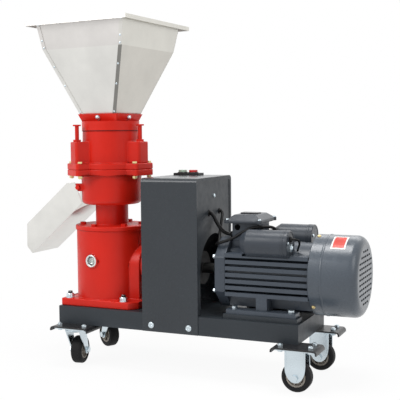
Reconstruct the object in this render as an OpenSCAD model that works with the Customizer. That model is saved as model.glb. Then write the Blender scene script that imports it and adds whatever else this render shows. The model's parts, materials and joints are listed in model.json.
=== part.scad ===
// Feed pellet mill: flat die head on a bevel gearbox, driven by a foot mounted motor on a wheeled tray.
// X runs along the tray towards the motor, the front is -Y, Z is up and the floor is at zero.

/* [Base tray] */
// Length of the tray
tray_l = 687; // [660:1:760]
// Depth of the tray, front to back
tray_w = 232; // [226:1:260]
// Height of the tray's folded sides
tray_h = 48; // [40:1:60]
// Sheet of the tray
tray_t = 3; // [2:0.5:5]

/* [Casters] */
// Height of a caster, floor to the top of its plate
caster_h = 108; // [106:1:120]
// Diameter of a wheel
wheel_d = 75; // [60:1:76]
// Width of a tyre
wheel_w = 30; // [22:1:32]
// Diameter of a wheel's hub, inside the tyre
hub_d = 50; // [36:1:54]
// Diameter of a wheel's axle bolt
axle_d = 10; // [8:1:12]
// Distance from a swivel axis to its wheel's axle
caster_trail = 30; // [22:1:32]
// Sheet of the forks and caster plates
fork_t = 3; // [2:0.5:4]
// Diameter of a swivel head
swivel_d = 54; // [44:1:58]
// Height of a swivel head's ball race
swivel_race_h = 4; // [3:0.5:6]
// Length of a bracket plate's flat
bracket_l = 99; // [94:1:110]
// Depth of a bracket plate
bracket_w = 74; // [70:1:84]
// Thickness of a bracket plate
bracket_t = 4; // [3:0.5:6]
// Outer radius of a bracket's rolled lip
bracket_lip_r = 9; // [7:1:12]
// Length of a caster's top plate
caster_plate_l = 92; // [88:1:98]
// Depth of a caster's top plate
caster_plate_w = 66; // [62:1:70]
// Spacing of a caster's bolts along X
caster_bolt_dx = 76; // [74:1:80]
// Spacing of a caster's bolts along Y
caster_bolt_dy = 36; // [34:1:37]
// Place of the left brackets from the tray's left end
left_bracket_x = 57; // [52:1:70]
// Place of the front brackets in front of the tray's centre line
front_bracket_y = 124; // [118:1:126]
// Place of the rear brackets behind the tray's centre line
rear_bracket_y = 87; // [78:1:96]

/* [Gearbox] */
// Place of the vertical shaft from the tray's left end
column_x = 106; // [104:1:112]
// Outer radius of the housing
house_r = 99; // [95:1:103]
// Wall of the housing
house_t = 8; // [6:1:10]
// Height of the housing above its foot
house_h = 187; // [180:1:200]
// Thickness of the foot plate
foot_t = 20; // [14:1:24]
// Length of the foot plate on the input side of the shaft
foot_front_l = 126; // [122:1:130]
// Length of the foot plate on the other side of the shaft
foot_back_l = 104; // [103:1:106]
// Width of the foot plate
foot_w = 212; // [208:1:220]
// Corner cut of the foot plate
foot_cut = 22; // [14:1:26]
// Radius of the arched input pad
pad_r = 55; // [50:1:58]
// Reach of the input pad from the shaft
pad_reach = 113; // [112:1:115]
// Radius of the input bearing cover
cover_r = 50; // [47:1:53]
// Thickness of the input bearing cover
cover_t = 13; // [10:1:16]
// Radius of the oil sight glass
sight_r = 17.5; // [15:0.5:19]
// Height of the sight glass above the housing's foot
sight_h = 106; // [90:1:120]
// Turn of the sight glass about the shaft, degrees
sight_turn = -6; // [-12:1:12]
// Height of the drive axis above the tray
drive_h = 110; // [106:1:116]

/* [Gears and shafts] */
// Teeth of the pinion
pinion_n = 12; // [12:1:12]
// Teeth of the crown gear
crown_n = 36; // [36:1:36]
// Module of the bevel gears
gear_module = 4; // [3.8:0.05:4.1]
// Face width of the bevel gears
gear_face = 24; // [20:1:26]
// Diameter of the shafts at the bearings
shaft_d = 35; // [32:1:36]
// Outer diameter of the shaft bearings
bearing_d = 72; // [68:1:76]
// Width of the shaft bearings
bearing_w = 17; // [14:1:18]

/* [Pressing head] */
// Turn of the head about the shaft, degrees
head_turn = -7.5; // [-12:0.5:12]
// Number of pressing rollers, lugs and adjusting bolts
head_n = 3; // [3:1:3]
// Outer radius of the neck
neck_r = 45.5; // [44:0.5:48]
// Height of the neck
neck_h = 58; // [54:1:64]
// Radius of the flange on the gearbox
top_flange_r = 102; // [101:1:104]
// Thickness of the flange on the gearbox
top_flange_t = 12; // [9:1:15]
// Outer radius of the discharge pot
pot_r = 84; // [82:1:86]
// Height of the discharge pot up to its lugs
pot_h = 80; // [77:1:90]
// Wall of the discharge pot
pot_t = 8; // [6:1:9]
// Radius of the flange ring between the lugs
ring_r = 90; // [88:1:93]
// Thickness of each lug flange
lug_t = 17; // [14:1:20]
// Reach of a lug from the shaft
lug_reach = 117.5; // [115:0.5:121]
// Half width of a lug
lug_half_w = 40; // [38:0.5:43]
// Outer radius of the pressing chamber
chamber_r = 78.5; // [77:0.5:80]
// Wall of the pressing chamber
chamber_t = 7.5; // [6:0.5:8]
// Height of the pressing chamber above its split
chamber_h = 106; // [100:1:112]
// Half width of an adjuster boss
boss_half_w = 24; // [21:0.5:26]
// Reach of an adjuster boss from the shaft
boss_reach = 113; // [111:0.5:114]
// Height of an adjuster boss above its lug
boss_h = 59; // [56:1:66]
// Place of an adjusting bolt from the shaft
adjuster_r = 100; // [98:0.5:102]
// Diameter of an adjusting bolt
adjuster_d = 11; // [9:1:13]
// Height of an adjusting bolt above its boss
adjuster_rise = 43; // [36:1:48]
// Radius of the flat die
die_r = 70; // [68:0.5:70.5]
// Thickness of the flat die
die_t = 25; // [20:1:28]
// Diameter of a pellet hole
pellet_d = 6; // [4:0.5:6.5]
// Radius of a pressing roller
roller_r = 27; // [24:0.5:28]
// Length of a pressing roller
roller_l = 34; // [30:1:36]
// Diameter of a roller's axle
roller_axle_d = 24; // [20:1:26]

/* [Hopper] */
// Turn of the hopper about the shaft, degrees
hopper_turn = -5; // [-10:0.5:10]
// Height of the ring under the collar
hopper_ring_h = 26; // [20:1:32]
// Outer radius of the ring under the collar
hopper_ring_r = 80; // [79:0.5:82]
// Height of the flared collar
collar_h = 20; // [16:1:26]
// Side of the square collar at its top
collar_side = 129; // [126:1:134]
// Side of the square collar at its foot
collar_foot_side = 113; // [110:1:116]
// Side of the hopper at its bend
bend_side = 258; // [240:1:280]
// Height of the tapered part, collar foot to bend
taper_h = 194; // [180:1:210]
// Height of the steep band, bend to rim
band_h = 73; // [60:1:90]
// Side of the hopper under its rim
mouth_side = 283; // [276:1:290]
// Side of the hopper over its rim
rim_side = 325; // [316:1:340]
// Depth of the rim's turned down lip
rim_lip = 11; // [8:1:14]
// Sheet of the hopper and the chute
sheet_t = 1.5; // [1:0.25:2]

/* [Chute] */
// Reach of the chute from the shaft
chute_reach = 243; // [232:1:260]
// Width of the chute
chute_w = 132; // [126:1:140]
// Height of the chute's side walls, square to its floor
chute_wall_h = 74; // [66:1:80]
// Slope of the chute, degrees
chute_slope = 41; // [38:1:44]

/* [Guard] */
// Place of the guard from the tray's left end
guard_x = 260; // [258:1:264]
// Length of the guard along the tray
guard_l = 160; // [156:1:168]
// Height of the guard above the tray
guard_h = 355; // [345:1:380]
// Sheet of the guard
guard_t = 2; // [1.5:0.5:3]
// Outer radius of the guard's top bends
guard_bend_r = 12; // [8:1:16]
// Radius of the arch that the motor reaches through
arch_r = 94; // [90:1:98]

/* [Switch] */
// Length of the switch box along the tray
switch_l = 77; // [70:1:84]
// Width of the switch box across the tray
switch_w = 35; // [32:1:38]
// Height of the switch box
switch_h = 6; // [5:1:9]
// Height of a button above the box
button_h = 8; // [6:1:10]
// Travel of a button
button_travel = 3; // [2:0.5:4]

/* [Motor] */
// Place of the drive end of the motor from the tray's left end
motor_x = 455; // [452:1:460]
// Length of an end bell
bell_l = 29; // [26:1:32]
// Length of the finned frame
motor_l = 219; // [214:1:226]
// Half of the frame's height and width over its fins
motor_half = 90; // [88:0.5:92]
// Outer radius of the frame's tube
motor_tube_r = 79; // [78:0.5:80]
// Wall of the frame's tube
motor_tube_t = 5; // [4:0.5:6]
// Radius of the fan cover
fan_cover_r = 102.5; // [101:0.5:104]
// Length of the fan cover
fan_cover_l = 119; // [114:1:124]
// Diameter of the motor shaft
motor_shaft_d = 28; // [24:1:30]
// Spacing of the foot bolts along X
motor_bolt_dx = 150; // [144:1:156]
// Spacing of the foot bolts along Y
motor_bolt_dy = 164; // [160:1:170]
// Height of the rails under the motor's feet
rail_h = 12; // [9:1:15]
// Radius of a capacitor cover
cap_r = 34.5; // [33:0.5:36]
// Length of the front capacitor cover
cap_front_l = 123; // [116:1:128]
// Length of the rear capacitor cover
cap_rear_l = 107; // [100:1:112]
// Length of the terminal box's lid
term_lid_l = 96; // [90:1:102]

/* [Coupling] */
// Radius of the jaw coupling
coupling_r = 45; // [40:1:47]
// Length of each coupling hub
coupling_hub_l = 38; // [34:1:42]
// Length of the rubber spider
spider_l = 16; // [14:1:18]

/* [Fits] */
// Radial clearance of a running fit
run_gap = 0.05; // [0.02:0.01:0.09]
// Radial clearance of a bolt in its hole
bolt_gap = 0.4; // [0.2:0.1:0.6]
// Gap between pieces that turn near each other
turn_gap = 1; // [0.6:0.1:1.2]
// Gap between a piece and its seat
seat_gap = 0.3; // [0.2:0.05:0.4]

/* [Hidden] */
$fn = 64;

overrun = 1;
red = [0.8, 0.13, 0.09];
dark = [0.22, 0.24, 0.26];
steel = [0.78, 0.78, 0.76];
zinc = [0.75, 0.79, 0.81];
motor_grey = [0.31, 0.34, 0.38];
black = [0.1, 0.1, 0.1];
gold = [0.82, 0.7, 0.4];
green = [0.2, 0.6, 0.3];
bare = [0.6, 0.6, 0.6];

// Heights above the floor, from the casters up
axle_z = wheel_d / 2;
tray_z = caster_h + bracket_t;
tray_top = tray_z + tray_h;
foot_top = tray_top + foot_t;
house_top = foot_top + house_h;
drive_z = tray_top + drive_h;
neck_z = house_top + top_flange_t;
pot_z = neck_z + neck_h;
lug_z = pot_z + pot_h;
split_z = lug_z + lug_t;
boss_z = split_z + lug_t;
boss_top = boss_z + boss_h;
chamber_top = split_z + chamber_h;
collar_z = chamber_top + hopper_ring_h;
bend_z = collar_z + taper_h;
rim_z = bend_z + band_h;
guard_top = tray_top + guard_h;
guard_w = tray_w + 2 * guard_t;
guard_end = guard_x + guard_l;

// Places along the tray
frame_x = motor_x + bell_l;
frame_end = frame_x + motor_l;
fan_cover_gap = 3;
fan_cover_x = frame_end + fan_cover_gap;
motor_end = fan_cover_x + fan_cover_l;
chute_tip = column_x - chute_reach;
middle_x = (chute_tip + motor_end) / 2;

lug_angles = [for (i = [0 : head_n - 1]) head_turn + i * 360 / head_n];

// Fasteners: each is a thread diameter, and its head and nut are shares of it
head_flat_share = 0.85;
head_h_share = 0.65;
nut_h_share = 0.8;
m12 = 12;
m10 = 10;
m8 = 8;
m6 = 6;
rivet_d = 4;

module placed() translate([-middle_x, 0, 0]) children();
module on_column() translate([column_x, 0, 0]) children();
module on_axis() translate([0, 0, drive_z]) rotate([0, 90, 0]) children();
module tube(r_out, r_in, h) {
  difference() {
    cylinder(r = r_out, h = h);
    translate([0, 0, -overrun]) cylinder(r = r_in, h = h + 2 * overrun);
  }
}
module hex_head(d, h) cylinder(r = d * head_flat_share, h = h, $fn = 6);
// A bolt along Z: its head stands on z = 0 and its shank goes down
module bolt_down(d, grip) {
  hex_head(d, d * head_h_share);
  translate([0, 0, -grip]) cylinder(r = d / 2, h = grip + d * head_h_share / 2);
}
module nut_on(d) {
  difference() {
    hex_head(d, d * nut_h_share);
    translate([0, 0, -overrun]) cylinder(r = d / 2 + run_gap, h = d * nut_h_share + 2 * overrun);
  }
}
// A rectangle with round corners, made of squares and circles, centred
module round_rect(w, h, r) {
  square([w - 2 * r, h], center = true);
  square([w, h - 2 * r], center = true);
  for (sx = [-1, 1], sy = [-1, 1]) translate([sx * (w / 2 - r), sy * (h / 2 - r)]) circle(r = r);
}

// Base tray
stud_dx = 84;
stud_dy = 92;
stud_places = [for (sx = [-1, 1], sy = [-1, 1]) [column_x + sx * stud_dx, sy * stud_dy]];
motor_foot_share = 0.45;
motor_mid_x = frame_x + motor_l * motor_foot_share;
motor_places = [for (sx = [-1, 1], sy = [-1, 1])
  [motor_mid_x + sx * motor_bolt_dx / 2, sy * motor_bolt_dy / 2]];
module base_tray() color(dark) {
  difference() {
    translate([0, -tray_w / 2, tray_z]) cube([tray_l, tray_w, tray_h]);
    translate([tray_t, tray_t - tray_w / 2, tray_z - overrun])
      cube([tray_l - 2 * tray_t, tray_w - 2 * tray_t, tray_h - tray_t + overrun]);
    for (p = stud_places) translate([p[0], p[1], tray_z])
      cylinder(r = m12 / 2 + bolt_gap, h = tray_h + overrun);
    for (p = motor_places) translate([p[0], p[1], tray_z])
      cylinder(r = m10 / 2 + bolt_gap, h = tray_h + overrun);
    for (x = screw_xs, s = [-1, 1]) translate([x, s * tray_w / 2, screw_z]) rotate([-s * 90, 0, 0])
      translate([0, 0, -tray_t - overrun]) cylinder(r = m8 / 2 + bolt_gap, h = tray_t + 2 * overrun);
  }
}

// Casters: the left pair swivels, the right pair is rigid
bracket_xs = [left_bracket_x, tray_l];
bracket_ys = [-front_bracket_y, rear_bracket_y];
bracket_places = [for (x = bracket_xs, y = bracket_ys) [x, y]];
caster_bolts = [for (p = bracket_places, sx = [-1, 1], sy = [-1, 1])
  [p[0] + sx * caster_bolt_dx / 2, p[1] + sy * caster_bolt_dy / 2]];
lip_drop = 3;
module bracket_profile() {
  inner_r = bracket_lip_r - bracket_t;
  translate([-bracket_l / 2, -bracket_t]) square([bracket_l, bracket_t]);
  for (s = [-1, 1]) {
    translate([s * bracket_l / 2, -bracket_lip_r]) {
      intersection() {
        difference() {
          circle(r = bracket_lip_r);
          circle(r = inner_r);
        }
        translate([s > 0 ? 0 : -bracket_lip_r, 0]) square(bracket_lip_r);
      }
      translate([s > 0 ? inner_r : -bracket_lip_r, -lip_drop]) square([bracket_t, lip_drop]);
    }
  }
}
module caster_brackets() color(black) {
  for (p = bracket_places) difference() {
    translate([p[0], p[1] + bracket_w / 2, tray_z]) rotate([90, 0, 0])
      linear_extrude(bracket_w) bracket_profile();
    for (sx = [-1, 1], sy = [-1, 1])
      translate([p[0] + sx * caster_bolt_dx / 2, p[1] + sy * caster_bolt_dy / 2, caster_h - overrun])
        cylinder(r = m8 / 2 + bolt_gap, h = bracket_t + 2 * overrun);
  }
}
plate_z = caster_h - fork_t;
race_z = plate_z - swivel_race_h;
module caster_plate(p) {
  difference() {
    translate([p[0] - caster_plate_l / 2, p[1] - caster_plate_w / 2, plate_z])
      cube([caster_plate_l, caster_plate_w, fork_t]);
    for (sx = [-1, 1], sy = [-1, 1])
      translate([p[0] + sx * caster_bolt_dx / 2, p[1] + sy * caster_bolt_dy / 2, plate_z - overrun])
        cylinder(r = m8 / 2 + bolt_gap, h = fork_t + 2 * overrun);
  }
}
king_d = 12;
head_sheet_z = race_z - seat_gap - fork_t;
module swivel_plates() {
  for (y = bracket_ys) {
    caster_plate([left_bracket_x, y]);
    translate([left_bracket_x, y, race_z]) cylinder(r = swivel_d / 2, h = swivel_race_h);
    translate([left_bracket_x, y, head_sheet_z - fork_t]) {
      cylinder(r = king_d / 2, h = swivel_race_h + 2 * fork_t);
      translate([0, 0, -seat_gap]) cylinder(r = king_d, h = fork_t);
    }
  }
}
leg_gap = 3;
leg_in = wheel_w / 2 + leg_gap;
leg_eye_r = 11;
// One side plate of a fork, drawn in the plane of the wheel, with the axle at the trail
module leg_outline(top_z, half_top, trail) {
  difference() {
    union() {
      polygon([
        [-half_top, top_z], [half_top, top_z], [trail + leg_eye_r, axle_z], [trail - leg_eye_r, axle_z]]);
      translate([trail, axle_z]) circle(r = leg_eye_r);
    }
    translate([trail, axle_z]) circle(r = axle_d / 2 + run_gap);
  }
}
// A fork at the origin: the wheel rolls along X, and the axle runs along Y at the trail
module fork(top_z, half_top, trail) {
  for (s = [-1, 1]) translate([0, s > 0 ? leg_in + fork_t : -leg_in, 0]) rotate([90, 0, 0])
    linear_extrude(fork_t) leg_outline(top_z, half_top, trail);
  axle_half = leg_in + fork_t;
  translate([trail, axle_half, axle_z]) rotate([90, 0, 0]) cylinder(r = axle_d / 2, h = 2 * axle_half);
  translate([trail, axle_half, axle_z]) rotate([-90, 0, 0]) hex_head(axle_d, axle_d * head_h_share);
  translate([trail, -axle_half, axle_z]) rotate([90, 0, 0]) hex_head(axle_d, axle_d * head_h_share);
}
swivel_turns = [100, 150];
module swivel_fork(i) {
  translate([left_bracket_x, bracket_ys[i], 0]) rotate([0, 0, swivel_turns[i]]) {
    fork(head_sheet_z + fork_t, swivel_d / 2 - fork_t, caster_trail);
    difference() {
      union() {
        translate([0, 0, head_sheet_z]) cylinder(r = swivel_d / 2, h = fork_t);
        translate([-swivel_d / 2 + fork_t, -leg_in - fork_t, head_sheet_z])
          cube([swivel_d - 2 * fork_t, 2 * (leg_in + fork_t), fork_t]);
      }
      translate([0, 0, head_sheet_z - overrun])
        cylinder(r = king_d / 2 + run_gap, h = fork_t + 2 * overrun);
    }
  }
}
module caster_fork_fl() color(zinc) swivel_fork(0);
module caster_fork_bl() color(zinc) swivel_fork(1);
rigid_half_w = 26;
module caster_frames() color(zinc) {
  swivel_plates();
  for (y = bracket_ys) {
    caster_plate([tray_l, y]);
    translate([tray_l, y, 0]) fork(plate_z, rigid_half_w, 0);
    translate([tray_l - rigid_half_w, y - leg_in - fork_t, plate_z - fork_t])
      cube([2 * rigid_half_w, 2 * (leg_in + fork_t), fork_t]);
  }
}
tyre_round = 7;
hub_w = 26;
hub_recess = 5;
hub_rim = 5;
boss_r = 10;
module tyre() rotate([90, 0, 0]) rotate_extrude() difference() {
  translate([wheel_d / 4, 0]) round_rect(wheel_d / 2, wheel_w, tyre_round);
  translate([-overrun, -wheel_w / 2 - overrun]) square([hub_d / 2 + overrun, wheel_w + 2 * overrun]);
}
module wheel_hub() {
  axle_hole_r = axle_d / 2 + run_gap;
  boss_half = leg_in - seat_gap;
  rotate([90, 0, 0]) rotate_extrude() {
    difference() {
      translate([axle_hole_r, -hub_w / 2]) square([hub_d / 2 - axle_hole_r, hub_w]);
      for (s = [-1, 1]) translate([boss_r, s * hub_w / 2 - hub_recess])
        square([hub_d / 2 - boss_r - hub_rim, 2 * hub_recess]);
    }
    translate([axle_hole_r, -boss_half]) square([boss_r - axle_hole_r, 2 * boss_half]);
  }
}
module at_wheel(i) {
  if (i < 2) translate([left_bracket_x, bracket_ys[i], axle_z]) rotate([0, 0, swivel_turns[i]])
    translate([caster_trail, 0, 0]) children();
  else translate([tray_l, bracket_ys[i - 2], axle_z]) children();
}
module wheel_hub_fl() color(bare) at_wheel(0) wheel_hub();
module wheel_hub_bl() color(bare) at_wheel(1) wheel_hub();
module wheel_hub_fr() color(bare) at_wheel(2) wheel_hub();
module wheel_hub_br() color(bare) at_wheel(3) wheel_hub();
module tyre_fl() color(black) at_wheel(0) tyre();
module tyre_bl() color(black) at_wheel(1) tyre();
module tyre_fr() color(black) at_wheel(2) tyre();
module tyre_br() color(black) at_wheel(3) tyre();

// Bolts of the casters and the four studs of the gearbox
stud_below = 12;
stud_above = 18;
module base_fasteners() color(zinc) {
  for (b = caster_bolts) {
    translate([b[0], b[1], plate_z]) mirror([0, 0, 1]) bolt_down(m8, fork_t + bracket_t + m8);
    translate([b[0], b[1], tray_z]) nut_on(m8);
  }
  for (p = stud_places) {
    translate([p[0], p[1], tray_top - tray_t - stud_below])
      cylinder(r = m12 / 2, h = stud_below + tray_t + foot_t + stud_above);
    translate([p[0], p[1], foot_top]) nut_on(m12);
    translate([p[0], p[1], tray_top - tray_t - m12 * nut_h_share]) nut_on(m12);
  }
}

// Gearbox
shaft_r = shaft_d / 2;
cavity_r = house_r - house_t;
pad_inner_r = bearing_d / 2;
module foot_outline() {
  difference() {
    translate([-foot_back_l, -foot_w / 2]) square([foot_back_l + foot_front_l, foot_w]);
    for (s = [-1, 1]) translate([foot_front_l, s * foot_w / 2]) rotate([0, 0, 45])
      square(foot_cut * sqrt(2), center = true);
  }
}
module at_sight() translate([0, 0, foot_top + sight_h]) rotate([0, 0, sight_turn]) rotate([90, 0, 0])
  children();
module gearbox_housing() color(red) on_column() {
  difference() {
    union() {
      translate([0, 0, tray_top]) linear_extrude(foot_t) foot_outline();
      translate([0, 0, foot_top]) cylinder(r = house_r, h = house_h);
      translate([0, 0, house_top]) cylinder(r = top_flange_r, h = top_flange_t);
      translate([0, 0, house_top]) cylinder(r = neck_r, h = top_flange_t + neck_h);
      translate([0, 0, drive_z]) rotate([0, 90, 0]) cylinder(r = pad_r, h = pad_reach);
      translate([0, -pad_r, foot_top]) cube([pad_reach, 2 * pad_r, drive_z - foot_top]);
      at_sight() cylinder(r = sight_r + sight_ring, h = house_r + sight_ring);
    }
    // The oil space, the bearing seats and the shaft's way through
    translate([0, 0, foot_top]) cylinder(r = cavity_r, h = house_h - top_flange_t);
    translate([0, 0, foot_top - bearing_w]) cylinder(r = bearing_d / 2, h = bearing_w + overrun);
    translate([0, 0, house_top - top_flange_t - overrun])
      cylinder(r = bearing_d / 2, h = 2 * top_flange_t + neck_h + 2 * overrun);
    translate([0, 0, drive_z]) rotate([0, 90, 0])
      translate([0, 0, cavity_r / 2]) cylinder(r = pad_inner_r, h = pad_reach);
    at_sight() translate([0, 0, cavity_r - sight_ring]) cylinder(r = sight_r, h = house_r);
    for (p = stud_places) translate([p[0] - column_x, p[1], tray_top - overrun])
      cylinder(r = m12 / 2 + bolt_gap, h = foot_t + 2 * overrun);
  }
}
sight_ring = 3;
sight_wall = 2.5;
module sight_glass() color(steel) on_column() at_sight() {
  translate([0, 0, cavity_r]) tube(sight_r, sight_r - sight_wall, house_t + 2 * sight_ring);
  translate([0, 0, cavity_r]) cylinder(r = sight_r - sight_wall, h = house_t + sight_ring);
}
cover_spigot = 5;
module input_cover() color(red) on_column() on_axis() difference() {
  union() {
    translate([0, 0, pad_reach]) cylinder(r = cover_r, h = cover_t);
    translate([0, 0, pad_reach - cover_spigot]) cylinder(r = pad_inner_r, h = cover_spigot + overrun);
  }
  translate([0, 0, pad_reach - cover_spigot - overrun])
    cylinder(r = shaft_r + turn_gap, h = cover_t + cover_spigot + 2 * overrun);
}

// Pressing head: the pot, the chamber and the flange between them, with three lugs
pot_in_r = pot_r - pot_t;
chamber_in_r = chamber_r - chamber_t;
pot_floor_t = 9;
pot_edge_r = 13;
lug_corner_r = 9;
bolt_in = 12.5;
bolt_out = 6.5;
flange_bolts = [for (a = lug_angles, s = [-1, 1]) [a, lug_reach - bolt_in, s * (lug_half_w - bolt_out)]];
module lug_outline() {
  circle(r = ring_r);
  for (a = lug_angles) rotate([0, 0, a]) translate([lug_reach / 2, 0])
    round_rect(lug_reach, 2 * lug_half_w, lug_corner_r);
}
window_half_w = 50;
window_h = 56;
die_rise = 3;
die_top = split_z + die_rise;
module discharge_pot() color(red) on_column() {
  difference() {
    union() {
      translate([0, 0, pot_z]) rotate_extrude() {
        translate([0, pot_edge_r]) square([pot_r, pot_h - pot_edge_r]);
        square([pot_r - pot_edge_r, pot_h]);
        translate([pot_r - pot_edge_r, pot_edge_r]) circle(r = pot_edge_r);
      }
      translate([0, 0, lug_z]) linear_extrude(lug_t) lug_outline();
      for (y = [-chute_in_half, chute_in_half - ear_t]) translate([-chute_ear_reach, y, ear_z - ear_half])
        cube([chute_ear_reach - pot_in_r / 2, ear_t, 2 * ear_half]);
    }
    translate([0, 0, pot_z + pot_floor_t]) cylinder(r = pot_in_r, h = pot_h + lug_t);
    translate([0, 0, pot_z - overrun]) cylinder(r = shaft_r + seal_gap, h = pot_h);
    translate([-pot_r - lug_reach, -window_half_w, pot_z + pot_floor_t])
      cube([pot_r + lug_reach, 2 * window_half_w, window_h]);
    for (s = [-1, 1]) translate([-ear_bolt_x, s * chute_in_half, ear_z]) rotate([90, 0, 0])
      translate([0, 0, -2 * ear_t]) cylinder(r = m8 / 2 + bolt_gap, h = 4 * ear_t);
    for (b = flange_bolts) rotate([0, 0, b[0]]) translate([b[1], b[2], lug_z - overrun])
      cylinder(r = m8 / 2 + bolt_gap, h = lug_t + 2 * overrun);
  }
}
seal_gap = 2;
arm_r = roller_axle_d / 2;
arm_z = die_top + roller_r + seat_gap;
arm_end_wall = 5;
arm_reach = boss_reach - arm_end_wall;
arm_slot_h = 8;
// The seam of the chamber's round wall lies between two lugs
seam_turn = head_turn + 180 / head_n;
module pressing_chamber() color(red) on_column() {
  difference() {
    union() {
      translate([0, 0, split_z]) rotate([0, 0, seam_turn]) cylinder(r = chamber_r, h = chamber_h);
      translate([0, 0, split_z]) linear_extrude(lug_t) lug_outline();
      for (a = lug_angles) rotate([0, 0, a]) translate([boss_reach / 2, 0, boss_z])
        linear_extrude(boss_h) round_rect(boss_reach, 2 * boss_half_w, lug_corner_r);
    }
    translate([0, 0, split_z - overrun]) rotate([0, 0, seam_turn])
      cylinder(r = chamber_in_r, h = chamber_h + 2 * overrun);
    for (a = lug_angles) rotate([0, 0, a]) {
      for (dz = [0, arm_slot_h]) translate([0, 0, arm_z + dz]) rotate([0, 90, 0])
        cylinder(r = arm_r + seat_gap, h = arm_reach + seat_gap);
      translate([0, -arm_r - seat_gap, arm_z])
        cube([arm_reach + seat_gap, 2 * (arm_r + seat_gap), arm_slot_h]);
      translate([adjuster_r, 0, arm_z])
        cylinder(r = adjuster_d / 2 + run_gap, h = boss_top - arm_z + overrun);
    }
    for (b = flange_bolts) rotate([0, 0, b[0]]) translate([b[1], b[2], split_z - overrun])
      cylinder(r = m8 / 2 + bolt_gap, h = lug_t + 2 * overrun);
  }
}
module chamber_bolts() color(gold) on_column() for (b = flange_bolts)
  rotate([0, 0, b[0]]) translate([b[1], b[2], boss_z]) {
    bolt_down(m8, 2 * lug_t + m8);
    translate([0, 0, -2 * lug_t - m8 * nut_h_share]) nut_on(m8);
  }
lock_nut_h = 6;
knob_d = 22;
knob_t = 4;
module adjusting_bolt(i) color(red) on_column() rotate([0, 0, lug_angles[i]]) translate([adjuster_r, 0, 0]) {
  tip_z = arm_z + arm_r + seat_gap;
  translate([0, 0, tip_z]) cylinder(r = adjuster_d / 2, h = boss_top + adjuster_rise - tip_z);
  translate([0, 0, boss_top + adjuster_rise]) cylinder(r = knob_d / 2, h = knob_t);
}
module adjusting_bolt_a() adjusting_bolt(0);
module adjusting_bolt_b() adjusting_bolt(1);
module adjusting_bolt_c() adjusting_bolt(2);

// Rollers: one carrier with three arms, which the adjusting bolts press down on
carrier_r = 26;
carrier_h = 40;
carrier_bore_r = shaft_r + turn_gap;
roller_in = 31;
roller_out = roller_in + roller_l;
cap_cone_h = 14;
shoulder_t = 2;
shoulder_rise = 0.2;
module roller_carrier() color(bare) on_column() difference() {
  union() {
    translate([0, 0, arm_z - carrier_h / 2]) cylinder(r = carrier_r, h = carrier_h);
    translate([0, 0, arm_z + carrier_h / 2]) cylinder(r1 = carrier_r, r2 = shaft_r / 2, h = cap_cone_h);
    for (a = lug_angles) rotate([0, 0, a]) translate([0, 0, arm_z]) rotate([0, 90, 0]) {
      cylinder(r = arm_r, h = arm_reach);
      cylinder(r = arm_r + shoulder_t, h = roller_in - turn_gap);
      translate([0, 0, roller_out + turn_gap]) cylinder(r = arm_r + shoulder_rise, h = shoulder_t);
    }
  }
  translate([0, 0, arm_z - carrier_h / 2 - overrun]) cylinder(r = carrier_bore_r, h = nut_room + overrun);
}
nut_room = 10;
module pressing_roller(i) color(bare) on_column() rotate([0, 0, lug_angles[i]])
  translate([0, 0, arm_z]) rotate([0, 90, 0]) difference() {
    translate([0, 0, roller_in]) cylinder(r = roller_r, h = roller_l);
    translate([0, 0, roller_in - overrun]) cylinder(r = arm_r + run_gap, h = roller_l + 2 * overrun);
    for (k = [0 : roller_grooves - 1]) rotate([0, 0, k * 360 / roller_grooves])
      translate([roller_r, 0, roller_in - overrun])
        cylinder(r = groove_r, h = roller_l + 2 * overrun, $fn = 4);
  }
roller_grooves = 24;
groove_r = 1.5;
module pressing_roller_a() pressing_roller(0);
module pressing_roller_b() pressing_roller(1);
module pressing_roller_c() pressing_roller(2);

// Die and main shaft
pellet_pitch = 9;
pellet_rows = [for (r = [roller_in + pellet_d : pellet_pitch : roller_out]) r];
module flat_die() color(bare) on_column() difference() {
  translate([0, 0, die_top - die_t]) cylinder(r = die_r, h = die_t);
  translate([0, 0, die_top - die_t - overrun]) cylinder(r = shaft_r + run_gap, h = die_t + 2 * overrun);
  for (r = pellet_rows) {
    n = floor(2 * PI * r / pellet_pitch);
    for (k = [0 : n - 1]) rotate([0, 0, k * 360 / n]) translate([r, 0, die_top - die_t - overrun])
      cylinder(r = pellet_d / 2, h = die_t + 2 * overrun, $fn = 16);
  }
}
sweeper_t = 5;
sweeper_r = 62;
blade_n = 3;
blade_turn_share = 0.1;
blade_h = 14;
blade_t = 6;
shaft_nut_h = 8;
shaft_nut_r = 24;
module main_shaft() color(bare) on_column() {
  shaft_foot = foot_top - bearing_w + seat_gap;
  translate([0, 0, shaft_foot]) cylinder(r = shaft_r, h = die_top + overrun - shaft_foot);
  translate([0, 0, die_top + run_gap]) cylinder(r = shaft_r - overrun, h = shaft_nut_h);
  // The hub that carries the die, with the plate and blades that sweep pellets to the chute
  translate([0, 0, sweep_z]) cylinder(r = sweeper_r, h = sweeper_t);
  translate([0, 0, sweep_z + overrun])
    cylinder(r = shaft_nut_r, h = die_top - die_t - sweep_z - overrun - run_gap);
  for (k = [0 : blade_n - 1]) rotate([0, 0, (k + blade_turn_share) * 360 / blade_n])
    translate([0, -blade_t / 2, sweep_z + overrun]) cube([sweeper_r - blade_t, blade_t, blade_h + sweeper_t]);
}
sweep_z = pot_z + pot_floor_t + pellet_d;

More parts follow.
